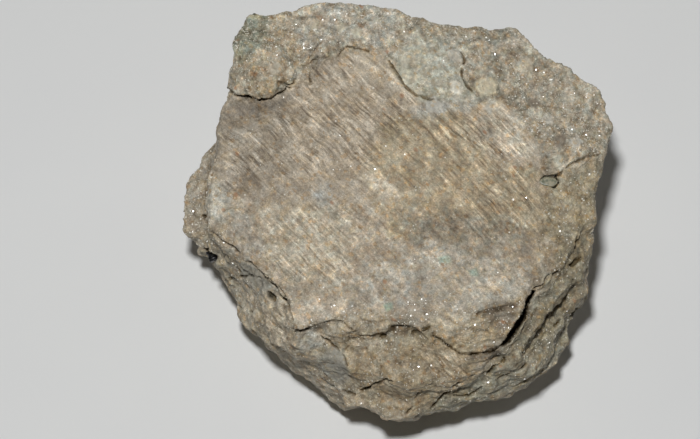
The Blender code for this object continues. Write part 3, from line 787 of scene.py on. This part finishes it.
# Heights in millimetres of the forms that each kind of surface carries.
relief = {
    "streaks": {"lamellae": 0.26, "stairs": 0.22, "fine": 0.06},
    "face": {"lumps": 0.30, "fine": 0.06, "grains": 0.10},
    "blotchy": {"grains": 0.10, "fine": 0.08, "bigGrains": 0.20},
    "band": {"grains": 0.17, "level": 0.0085, "lumps": 0.62, "bigGrains": 0.72, "grainSteps": 0.10,
             "fine": 0.10, "humps": 0.9},
    "layered": {"laminae": 0.30, "ridges": 0.30, "level": -0.20},
    "blocky": {"lumps": 0.55, "bigGrains": 0.45, "bigSteps": 0.25},
    "wall": {"ridges": 0.12, "lumps": 0.38, "bigGrains": 0.24, "flakes": 0.22, "grains": 0.14,
             "level": -0.10},
}


def reliefOf(points, parts):
    # height of the fine relief over the solid, in millimetres
    turn = math.radians(rock["streakTurn"])
    along = points[:, 0] * math.cos(turn) + points[:, 1] * math.sin(turn)
    over = -points[:, 0] * math.sin(turn) + points[:, 1] * math.cos(turn)
    laid = np.stack([along, over + 0.9 * grainOf(points, 14, 11), points[:, 2]], axis=1)

    lamellae = grainOf(laid, (6.4, 0.9, 3.0), 12) + 0.65 * grainOf(laid, (3.8, 0.5, 2.0), 13)
    stairs = 2.4 * grainOf(laid, (9, 3.2, 6), 14)
    fine = grainOf(points, 1.1, 15)
    near, own = cellsOf(points, 1.35, 17)
    nearBig, ownBig = cellsOf(points + 0.5 * fine[:, None], 3.4, 18)
    forms = {
        "level": 1.0,
        "fine": fine,
        "lamellae": lamellae * (0.7 + 0.5 * grainOf(points, 7, 21)),
        "stairs": np.floor(stairs) + smooth(0.3, 0.7, stairs - np.floor(stairs)),
        "lumps": grainOf(points, 4.2, 16, 4),
        "grains": 0.5 - near,
        "grainSteps": own - 0.5,
        "bigGrains": 0.5 - nearBig,
        "bigSteps": ownBig - 0.5,
        "humps": grainOf(points, 8, 22),
        "ridges": 1 - np.abs(grainOf(laid, (9, 4.5, 2.4), 19, 3)) * 1.6,
        "flakes": grainOf(points, (3.2, 3.2, 1.0), 20),
        "laminae": grainOf(points, (5.0, 5.0, 0.6), 23) * smooth(-0.2, 0.3, grainOf(points, 6, 24)),
    }
    shares = dict(parts, blotchy=parts["face"] * parts["blotchy"], blocky=parts["wall"] - parts["layered"])
    height = np.zeros(len(points))
    for surface, heights in relief.items():
        height += shares[surface] * sum(tall * forms[form] for form, tall in heights.items())
    return height


def cracksOf(points, parts):
    # depths of the cracks along the normals, and of the slots along the line of sight
    wobbleA = 0.9 * grainOf(points, 1.3, 31) + 0.7 * grainOf(points, 3.5, 32)
    wobbleB = 0.9 * grainOf(points, 1.3, 33) + 0.7 * grainOf(points, 3.5, 34)
    across, down = inView(points)
    across = across + wobbleA
    down = down + wobbleB
    depth = np.zeros(len(points))
    slot = np.zeros(len(points))
    thinning = grainOf(points, 2.6, 35)
    for cleft in cracks:
        distance = distanceTo(cleft["line"], across, down) * viewUnit
        half = cleft["width"] / 2
        opening = 1.0
        if cleft["width"] < rock["widestCrack"]:
            half = half * np.clip(1 + 1.4 * thinning, 0.35, 1.6)
            opening = smooth(-0.42, 0.0, thinning)
        share = opening * (1 - smooth(half * 0.5, half * 1.25 + 0.12, distance))
        depth = np.maximum(depth, cleft["depth"] * share)
        slot = np.maximum(slot, cleft["slot"] * (1 - smooth(half, half + 0.25, distance)))
    return depth * parts["facing"], slot


def evened(mesh, points, rounds, pull=0.6):
    # every point drawn towards its neighbours, round after round
    first, second = listed(mesh.edges, "vertices", 2, np.int32).T
    size = len(points)
    count = np.bincount(first, minlength=size) + np.bincount(second, minlength=size)
    even = points.copy()
    for step in range(rounds):
        total = np.stack([
            np.bincount(first, even[second, axis], size) + np.bincount(second, even[first, axis], size)
            for axis in range(3)
        ], axis=1)
        even = (1 - pull) * even + pull * total / count[:, None]
    return even


def hollowness(mesh, points, normals, rounds):
    # how far each point lies under the smoothed surface round it, in millimetres
    return ((evened(mesh, points, rounds) - points) * normals).sum(axis=1)


def worn(mesh, points, facing):
    # the points with the worn ledges evened out
    across, down = inView(points)
    share = np.zeros(len(points))
    for ledge in wornLedges:
        apart = distanceTo(ledge["line"], across, down)
        share = np.maximum(share, np.exp(-(apart / ledge["reach"]) ** 2))
    return points + (evened(mesh, points, rock["wearRounds"]) - points) * (share * facing)[:, None]


def paint(mesh, name, values):
    # one value or one colour for each point, kept on the mesh for the material
    if values.ndim == 1:
        layer = mesh.attributes.new(name, "FLOAT", "POINT")
        layer.data.foreach_set("value", values.astype(np.float32))
    else:
        full = np.concatenate([values, np.ones((len(values), 1))], axis=1)
        layer = mesh.attributes.new(name, "FLOAT_COLOR", "POINT")
        layer.data.foreach_set("color", full.astype(np.float32).ravel())


def laidOver(tint, mineral, share):
    # the tint with a mineral's colour laid over it, by a share for each point
    return tint + (np.array(linear(*minerals[mineral])) - tint) * share[:, None]


def tintOf(points, parts):
    # the mineral colour at each point before its grain, and how smooth and clear the mineral is
    tint = np.tile(np.array(linear(*minerals["pinkFeldspar"])), (len(points), 1))
    clear = np.zeros(len(points))
    # sides that are not sighted: feldspar, mica-rich and quartz zones by their own pattern
    hidden = 1 - parts["facing"]
    zoneA = grainOf(points, 17, 41, 2)
    zoneB = grainOf(points, 9, 42, 2)
    tint = laidOver(tint, "goldenTan", 0.8 * smooth(-0.15, 0.35, zoneA) * hidden)
    tint = laidOver(tint, "layerGreen", 0.8 * smooth(0.0, 0.4, zoneB) * hidden)
    tint = laidOver(tint, "smokyQuartz", smooth(0.25, 0.45, -zoneA) * smooth(-0.1, 0.2, zoneB) * hidden)
    tint = laidOver(tint, "tanFeldspar", 0.8 * parts["wall"] * parts["facing"])
    for spot in patches:
        if spot["zone"]:
            share = parts[spot["zone"]]
        elif spot["soft"] > rock["farWander"]:
            share = insideOf(spot["outline"], parts["patchAcross"], parts["patchDown"], spot["soft"])
            share = share * parts["facing"]
        else:
            share = insideOf(spot["outline"], parts["across"], parts["down"], spot["soft"]) * parts["facing"]
        tint = laidOver(tint, spot["mineral"], spot["amount"] * share)
        clear = np.maximum(clear, spot["amount"] * spot["clear"] * share)
    across = parts["across"] + 2.2 * grainOf(points, 0.9, 44)
    down = parts["down"] + 2.2 * grainOf(points, 0.9, 45)
    for grain in clasts:
        share = insideOf(grain["outline"], across, down, 1.2) * parts["facing"]
        tint = laidOver(tint, grain["mineral"], share)
        clear = np.maximum(clear, share)
    return tint, clear


def paintRock(mesh, dug):
    # what the material reads: the minerals, where the surface is streaked, grainy or layered, and where
    # painted shade and dirt darken it, from how deep the cracks are dug
    points, normals = arrays(mesh)
    parts = regionsOf(points, normals)
    tint, clear = tintOf(points, parts)
    granular = parts["band"] + 0.5 * parts["wall"]
    granular += parts["face"] * (0.18 + 0.45 * parts["blotchy"] + 0.42 * parts["sharp"])
    hollow = hollowness(mesh, points, normals, rock["hollowRounds"])
    deep = hollowness(mesh, points, normals, rock["deepRounds"])
    deep = np.clip(deep / 0.8 + dug / 1.3 - 0.15, 0, 1)
    glitter = 0
    for spot in glitters:
        glitter = glitter + spot["share"] * insideOf(spot["outline"], parts["across"], parts["down"], 6)
    sparkle = 1.2 * parts["band"] + 0.6 * parts["wall"] + 0.10 * parts["face"]
    sparkle *= 0.25 + smooth(-0.2, 0.5, grainOf(points, 5, 43))
    sparkle += np.clip(glitter, 0, 1) * parts["facing"]
    sparkle *= 0.4 + 0.6 * parts["facing"]
    sparkle *= (1 - smooth(0.35, 0.8, deep)) * (1 - 0.7 * clear)
    paint(mesh, "tint", tint)
    paint(mesh, "clear", clear)
    paint(mesh, "streaks", parts["streaks"])
    paint(mesh, "granular", np.clip(granular, 0, 1))
    paint(mesh, "layered", parts["layered"])
    # hollows for painted shade and dirt, edges for a painted highlight, cracks and deep hollows for painted
    # shade and dirt
    paint(mesh, "hollow", np.clip(hollow / 0.09, -1, 1))
    paint(mesh, "deep", deep)
    paint(mesh, "sparkle", sparkle)
    return parts["facing"]


def thinned(piece, facing):
    # fewer faces, and larger ones on the far and lower sides
    steps = rock["coarseSteps"]
    levels = np.round(np.clip(1.15 - facing, 0.15, 1) * steps) / steps
    group = piece.vertex_groups.new(name="coarse")
    for level in np.unique(levels):
        group.add(np.nonzero(levels == level)[0].tolist(), float(level), "REPLACE")
    thin = piece.modifiers.new("thin", "DECIMATE")
    thin.ratio = rock["triangles"] / (2 * len(facing))
    thin.vertex_group = group.name
    thin.vertex_group_factor = 1.0
    baked(piece)
    piece.vertex_groups.clear()


def makeRock(material):
    piece = evenMesh()
    points, normals = arrays(piece.data)
    print("rock: even mesh of", len(points), "points")
    points = nudged(points)
    points = worn(piece.data, points, smooth(-0.1, 0.2, -(normals @ np.array(sightLine))))
    parts = regionsOf(points, normals)
    height = reliefOf(points, parts) + swelling(points, parts["facing"])
    dug, slot = cracksOf(points, parts)
    slot = slot * smooth(0.0, 0.1, parts["facing"])
    low, high = rock["baseFade"]  # the underside stays flat where the rock stands
    move = (height - dug) * smooth(low, high, points[:, 2])
    points = points + normals * move[:, None] + np.array(sightLine) * slot[:, None]
    piece.data.vertices.foreach_set("co", (points * mm).astype(np.float32).ravel())
    piece.data.update()
    print("rock: relief worked in")
    facing = paintRock(piece.data, dug + slot)
    print("rock: minerals laid out")
    thinned(piece, facing)
    print("rock: thinned to", len(piece.data.polygons), "faces")
    smoothShaded(piece.data)
    piece.data.materials.clear()
    piece.data.materials.append(material)
    return piece


def rockMaterial():
    material, tree, shader = newMaterial("feldsparAndQuartz")
    tint = attribute(tree, "tint", "Color")
    streaks = attribute(tree, "streaks")
    granular = attribute(tree, "granular")
    hollow = attribute(tree, "hollow")
    deep = attribute(tree, "deep")
    layered = attribute(tree, "layered")
    turn = rock["streakTurn"]

    def scaled(share, amount):
        return maths(tree, "MULTIPLY", share, amount)

    def even(size, detail, rough, shift=0):
        return noisy(tree, sized(tree, size, size, size, shift), detail, rough)

    # patterns, from the widest to the finest
    mottle = even(5.5, 2.0, 0.6)
    cloud = even(4.2, 1.0, 0.5, 55)
    warmth = even(2.7, 4.0, 0.75, 40)
    blotch = even(2.4, 2.0, 0.6, 9)
    blush = even(1.5, 2.0, 0.5, 70)
    speck = even(1.0, 2.0, 0.6)
    fleck = even(0.38, 2.0, 0.6)
    lamina = noisy(tree, sized(tree, 6.0, 6.0, 0.55, 20, 1.6), 2.0, 0.6)
    # long pale lamellae, en echelon, with thinner ones between
    broadLamella = noisy(tree, sized(tree, 7.5, 1.5, 3.0, turn - 3, 3.0), 1.0, 0.5)
    longLamella = noisy(tree, sized(tree, 6.6, 0.62, 2.5, turn, 2.2), 2.0, 0.5)
    thinLamella = noisy(tree, sized(tree, 4.2, 0.34, 1.6, turn + 3, 1.3), 2.0, 0.6)
    bunch = ranged(tree, noisy(tree, sized(tree, 5.5, 3.0, 4.0, turn, 2.0), 1.0, 0.5), 0.38, 0.62, 0.25, 1.0)
    bunched = scaled(streaks, bunch)
    grainNear, grainColour = grains(tree, sized(tree, 0.95, 0.80, 0.95, turn, 0.5))
    unstreaked = maths(tree, "SUBTRACT", 1.0, scaled(streaks, 0.45))
    coarse = scaled(maths(tree, "ADD", scaled(granular, 0.7), 0.45), unstreaked)

    def laid(colour, layers):
        # a pattern, the values between which it sets in, the share of it and what it does to the colour
        for pattern, low, high, share, factor in layers:
            amount = ranged(tree, pattern, low, high)
            colour = tinted(tree, colour, amount if share is None else scaled(amount, share), factor)
        return colour

    # zones a few millimetres across, then blotches, then lamellae
    colour = laid(tint, (
        (mottle, 0.38, 0.62, None, (0.80, 0.77, 0.73)),
        (cloud, 0.52, 0.64, granular, (1.22, 1.22, 1.22)),
        (cloud, 0.48, 0.36, granular, (0.84, 0.83, 0.81)),
        (blotch, 0.50, 0.66, coarse, (1.34, 1.35, 1.36)),
        (blotch, 0.48, 0.34, coarse, (0.76, 0.74, 0.71)),
        (broadLamella, 0.52, 0.66, scaled(streaks, 0.9), (1.32, 1.32, 1.33)),
        (broadLamella, 0.46, 0.34, scaled(streaks, 0.9), (0.75, 0.73, 0.70)),
        (longLamella, 0.52, 0.64, bunched, (1.48, 1.50, 1.54)),
        (longLamella, 0.46, 0.34, scaled(bunched, 0.95), (0.56, 0.52, 0.48)),
        (thinLamella, 0.56, 0.72, scaled(bunched, 0.7), (1.32, 1.33, 1.35)),
        (thinLamella, 0.44, 0.32, scaled(bunched, 0.95), (0.64, 0.60, 0.56)),
        (lamina, 0.53, 0.66, layered, (1.28, 1.28, 1.27)),
        (lamina, 0.46, 0.33, layered, (0.74, 0.71, 0.66)),
    ))
    # grains, each with its own tone, and a few bright crystals
    grainTone = ranged(tree, channel(tree, grainColour, 0), 0.0, 1.0, 0.86, 1.22)
    toned = mixed(tree, 1.0, colour, grainTone, "MULTIPLY")
    colour = mixed(tree, scaled(granular, 0.7), colour, toned)
    chosen = ranged(tree, channel(tree, grainColour, 1), 0.86, 0.90)
    crystal = scaled(chosen, ranged(tree, grainNear, 0.42, 0.25))
    crystal = scaled(crystal, maths(tree, "ADD", scaled(granular, 0.6), 0.3))
    colour = tinted(tree, colour, crystal, (1.5, 1.52, 1.56))
    colour = laid(colour, (
        (speck, 0.52, 0.68, None, (1.28, 1.28, 1.28)),
        (speck, 0.46, 0.34, None, (0.80, 0.79, 0.77)),
        (fleck, 0.50, 0.66, None, (1.28, 1.28, 1.28)),
        (fleck, 0.48, 0.34, None, (0.80, 0.79, 0.78)),
        (warmth, 0.50, 0.64, unstreaked, (1.07, 1.0, 0.86)),
        (warmth, 0.50, 0.36, unstreaked, (0.94, 1.0, 1.07)),
        (blush, 0.50, 0.62, granular, (1.06, 0.98, 0.92)),
        (blush, 0.50, 0.38, granular, (0.94, 1.01, 1.04)),
    ))
    # single grains are smooth inside
    colour = mixed(tree, scaled(attribute(tree, "clear"), 0.55), colour, tint)
    colour = laid(colour, ((channel(tree, grainColour, 2), 0.92, 0.96, 0.8, (1.02, 0.86, 0.68)),))

    # small rust spots drawn out along the lamellae, and dark pits
    rustNear, rustColour = grains(tree, sized(tree, 6.5, 4.2, 4.2, turn, 2.0))
    rust = scaled(ranged(tree, rustNear, 0.15, 0.07), ranged(tree, channel(tree, rustColour, 0), 0.45, 0.5))
    colour = mixed(tree, scaled(rust, 0.6), colour, opaque(*rock["rustColour"]))
    pitNear, pitColour = grains(tree, sized(tree, 4.4, 4.4, 4.4, 20, 2.0))
    pits = scaled(ranged(tree, pitNear, 0.10, 0.05), ranged(tree, channel(tree, pitColour, 1), 0.6, 0.65))
    pits = scaled(pits, maths(tree, "SUBTRACT", 1.0, scaled(granular, 0.6)))
    colour = mixed(tree, scaled(pits, 0.7), colour, opaque(*rock["pitColour"]))

    # painted shade and dirt in the hollows, a painted highlight on the edges, and painted shade and dirt in
    # the cracks and deep hollows
    colour = laid(colour, (
        (hollow, 0.1, 0.95, 0.40, (0.60, 0.55, 0.48)),
        (hollow, -0.1, -0.95, 0.9, (1.22, 1.22, 1.21)),
    ))
    colour = tinted(tree, colour, scaled(deep, 0.85), (0.30, 0.26, 0.19))

    tree.links.new(colour, shader.inputs["Base Color"])
    tree.links.new(ranged(tree, speck, 0.3, 0.7, *rock["rough"]), shader.inputs["Roughness"])
    shader.inputs["IOR"].default_value = rock["ior"]
    tree.links.new(ranged(tree, deep, 0.2, 1.0, 0.5, 0.05), shader.inputs["Specular IOR Level"])
    height = scaled(maths(tree, "ADD", longLamella, scaled(thinLamella, 0.7)), streaks)
    for form in (scaled(lamina, layered), scaled(grainNear, scaled(granular, -0.5)), scaled(fleck, 0.45),
                 scaled(speck, 0.6)):
        height = maths(tree, "ADD", height, form)
    bumped(tree, shader, height, *rock["bump"])
    return material


rockPiece = makeRock(rockMaterial())
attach(rockPiece, "root")
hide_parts(rock["node"])
print("rock made:", len(rockPiece.data.polygons), "faces")

aquamarine = {
    "node": "aquamarine_crystal",
    "slot": "aquamarine",
    "bevel": 0.14,  # mm
    "cuts": 5,  # that each edge gets, so that the faces can be roughened
    "etch": 0.16,  # mm, unevenness of its end
    "worn": 0.25,  # mm, unevenness of its outline
    "swell": (1.08, 0.84, 1.0),  # longer and narrower than the plain solid, as its pocket is
    "shift": (-0.45, -0.2, 0.0),  # mm from the plain solid's place
    "dark": (114, 119, 100),
    "light": (170, 162, 136),
    "rough": 0.36,
    "ior": 1.577,
    "seeThrough": 0.18,
    "cloud": (0.7, 0.7, 1.2),  # mm
    "bump": (0.7, 0.12),  # strength, and height in mm
}
tourmaline = {
    "node": "tourmaline_crystal",
    "slot": "tourmaline",
    "bevel": 0.25,
    "cuts": 7,
    "axis": (0.93, 0.35, 0.05),
    "striae": 0.16,  # mm deep
    "broken": 0.55,  # mm, roughness of its snapped end
    "brokenLength": 2.5,  # mm
    "shift": (1.7, -0.5, 0.0),
    "dark": (9, 10, 12),
    "light": (28, 27, 30),
    "rough": 0.2,
    "ior": 1.63,
    "seeThrough": 0.0,
    "cloud": (0.5, 0.5, 0.5),
    "bump": (0.7, 0.12),
}


def cloudedMaterial(name, settings, detail=3.0, blur=0.6):
    # two tones in a cloudy mix, rougher where it is pale
    material, tree, shader = newMaterial(name)
    cloud = noisy(tree, sized(tree, *settings["cloud"]), detail, blur)
    share = ranged(tree, cloud, 0.35, 0.65)
    colour = mixed(tree, share, opaque(*settings["dark"]), opaque(*settings["light"]))
    tree.links.new(colour, shader.inputs["Base Color"])
    rough = settings["rough"]
    tree.links.new(ranged(tree, cloud, 0.3, 0.7, rough, rough + 0.18), shader.inputs["Roughness"])
    shader.inputs["IOR"].default_value = settings["ior"]
    return material, shader, cloud


def crystalMaterial(name, settings):
    material, shader, cloud = cloudedMaterial(name, settings)
    shader.inputs["Transmission Weight"].default_value = settings["seeThrough"]
    bumped(material.node_tree, shader, cloud, *settings["bump"])
    return material


def bevelled(settings):
    # a crystal's solid with worn edges, and with points enough to roughen it
    work = meshCopy(settings["node"])
    bmesh.ops.dissolve_limit(work, angle_limit=0.02, verts=work.verts, edges=work.edges)
    bmesh.ops.bevel(work, geom=work.edges[:], offset=settings["bevel"] * mm, offset_type="OFFSET", segments=2,
                    profile=0.5, affect="EDGES", material=-1)
    bmesh.ops.triangulate(work, faces=work.faces)
    bmesh.ops.subdivide_edges(work, edges=work.edges, cuts=settings["cuts"], use_grid_fill=True)
    return work


def middleOf(work):
    return sum((vert.co for vert in work.verts), Vector()) / len(work.verts)


def roughenAquamarine(work):
    for vert in work.verts:
        spot = vert.co / mm
        swell = noise.fractal(spot / 1.3, 1.0, 2.1, 3)
        outline = Vector((noise.noise(spot / 2.1), noise.noise(spot / 2.1 + Vector((9, 9, 9))), 0))
        vert.co += (vert.normal * aquamarine["etch"] * swell + outline * aquamarine["worn"]) * mm
    around = Matrix.Translation(-middleOf(work))
    bmesh.ops.scale(work, vec=aquamarine["swell"], space=around, verts=work.verts)


def roughenTourmaline(work):
    axis = Vector(tourmaline["axis"]).normalized()
    middle = middleOf(work)
    reach = [(vert.co - middle).dot(axis) for vert in work.verts]
    tip = min(reach)
    for vert, along in zip(work.verts, reach):
        away = vert.co - middle - axis * along
        striae = noise.noise(away / mm * 2.2 + Vector((0, 0, along / mm * 0.12)))
        snapped = max(0.0, 1 - (along - tip) / (tourmaline["brokenLength"] * mm))
        rough = noise.fractal(vert.co / mm / 1.1, 0.9, 2.1, 3) * snapped
        vert.co += vert.normal * (tourmaline["striae"] * striae - tourmaline["striae"]) * mm
        vert.co += axis * abs(rough) * tourmaline["broken"] * 2 * mm


def makeCrystal(name, settings, roughen, materialName):
    work = bevelled(settings)
    roughen(work)
    bmesh.ops.translate(work, vec=Vector(settings["shift"]) * mm, verts=work.verts)
    bmesh.ops.recalc_face_normals(work, faces=work.faces)
    return newPiece(name, smoothShaded(meshOf(work, name)), crystalMaterial(materialName, settings))


aquamarinePiece = makeCrystal("aquamarine", aquamarine, roughenAquamarine, "greyGreenBeryl")
tourmalinePiece = makeCrystal("tourmaline", tourmaline, roughenTourmaline, "blackTourmaline")
for crystal, settings in ((aquamarinePiece, aquamarine), (tourmalinePiece, tourmaline)):
    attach(crystal, "root")
    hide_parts(settings["node"])
print("crystals made")

mica = {
    "doublings": 14,  # of one flake, which gives 16384
    "radius": (0.09, 0.32),  # mm
    "narrowest": 0.5,  # width of a flake to its length
    "thickness": 0.07,
    "proud": 0.03,  # mm that the middle of a flake stands off the rock
    "tilt": 23,  # degrees off the rock's surface, as a spread
    "leaning": 0.7,  # share of that spread that is used
    "lowest": 1.5,  # mm above the floor
    "seed": 5,
    "dark": (176, 166, 144),
    "light": (226, 222, 208),
    "rough": 0.16,
    "gloss": 0.8,
    "ior": 1.6,
    "cloud": (1.3, 1.3, 1.3),  # mm
}


def flakePlaces(mesh):
    # where each flake goes and how it is turned and sized, drawn by how much the rock glitters there
    middles = listed(mesh.polygons, "center", 3)
    normals = listed(mesh.polygons, "normal", 3)
    areas = listed(mesh.polygons, "area")
    starts = listed(mesh.polygons, "loop_start", kind=np.int32)
    corners = listed(mesh.loops, "vertex_index", kind=np.int32)
    sparkle = listed(mesh.attributes["sparkle"].data, "value")
    share = areas * sparkle[corners[starts]] * (middles[:, 2] > mica["lowest"] * mm)
    chance = np.cumsum(share / share.sum())
    draw = random.Random(mica["seed"])
    low, high = mica["radius"]
    spread = math.tan(math.radians(mica["tilt"]))
    places = []
    for flake in range(2 ** mica["doublings"]):
        face = min(int(np.searchsorted(chance, draw.random())), len(areas) - 1)
        up = Vector(normals[face])
        lean = Vector((draw.gauss(0, 1), draw.gauss(0, 1), draw.gauss(0, 1))) * spread
        turned = (up + lean * mica["leaning"]).to_track_quat("Z", "Y").to_matrix()
        turned = turned @ Matrix.Rotation(draw.uniform(0, math.tau), 3, "Z")
        radius = (low + (high - low) * draw.random() ** 2) * mm
        width = radius * draw.uniform(mica["narrowest"], 1)
        turned = turned @ Matrix.Diagonal((radius, width, mica["thickness"] * mm))
        places.append((Vector(middles[face]) + up * mica["proud"] * mm, turned))
    return places


def makeMica(places):
    # one plate, doubled into a long row and then laid out over the rock
    gap = 4
    work = bmesh.new()
    bmesh.ops.create_cone(work, cap_ends=True, segments=4, radius1=1, radius2=1, depth=1)
    for doubling in range(mica["doublings"]):
        copied = bmesh.ops.duplicate(work, geom=work.verts[:] + work.edges[:] + work.faces[:])["geom"]
        copied = [item for item in copied if isinstance(item, bmesh.types.BMVert)]
        bmesh.ops.translate(work, vec=(gap * 2 ** doubling, 0, 0), verts=copied)
    for vert in work.verts:
        flake = round(vert.co.x / gap)
        middle, turned = places[flake]
        vert.co = middle + turned @ (vert.co - Vector((gap * flake, 0, 0)))
    material, shader = cloudedMaterial("silverMica", mica, 1.0, 0.5)[:2]
    shader.inputs["Specular IOR Level"].default_value = mica["gloss"]
    return newPiece("mica_flakes", meshOf(work, "mica_flakes"), material)


flakesPiece = makeMica(flakePlaces(rockPiece.data))
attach(flakesPiece, "root")
print("mica flakes set:", len(flakesPiece.data.polygons), "faces")

studio = {
    "floorSize": 3.0,
    "floorColour": (228, 229, 228),
    "floorRough": 0.75,
    "floorGloss": 0.2,
    "keyPlace": (-0.061, -0.148, 0.92),
    "keySize": 0.08,
    "keyPower": 6.3,
    "backPlaces": ((-0.8, 0.9, 0.24), (0.9, 0.7, 0.24)),
    "backSize": 0.6,
    "backPower": 1.1,
    "target": (0, 0, 0.02),
    "fill": 0.034,  # strength of the even light from all sides
}


def makeFloor():
    work = bmesh.new()
    bmesh.ops.create_grid(work, x_segments=2, y_segments=2, size=studio["floorSize"] / 2)
    material, tree, shader = newMaterial("paleFloor")
    cloud = noisy(tree, sized(tree, 60, 60, 60), 3.0, 0.5)
    colour = tinted(tree, opaque(*studio["floorColour"]), ranged(tree, cloud, 0.3, 0.7), (0.985, 0.985, 0.99))
    tree.links.new(colour, shader.inputs["Base Color"])
    shader.inputs["Roughness"].default_value = studio["floorRough"]
    shader.inputs["Specular IOR Level"].default_value = studio["floorGloss"]
    return newPiece("floor", meshOf(work, "floor"), material)


def addLamp(name, place, size, power):
    lamp = bpy.data.lights.new(name, "AREA")
    lamp.shape = "DISK"
    lamp.size = size
    lamp.energy = power
    holder = bpy.data.objects.new(name, lamp)
    turned = (Vector(studio["target"]) - Vector(place)).to_track_quat("-Z", "Y").to_matrix().to_4x4()
    holder.matrix_world = Matrix.Translation(place) @ turned
    scene.collection.objects.link(holder)


makeFloor()
addLamp("keyLamp", studio["keyPlace"], studio["keySize"], studio["keyPower"])
for lampName, place in zip(("backLeftLamp", "backRightLamp"), studio["backPlaces"]):
    addLamp(lampName, place, studio["backSize"], studio["backPower"])
world = bpy.data.worlds.new("studio")
world.use_nodes = True
world.node_tree.nodes["Background"].inputs["Color"].default_value = (1, 1, 1, 1)
world.node_tree.nodes["Background"].inputs["Strength"].default_value = studio["fill"]
scene.world = world
scene.view_settings.view_transform = "Standard"
print("floor and light set")
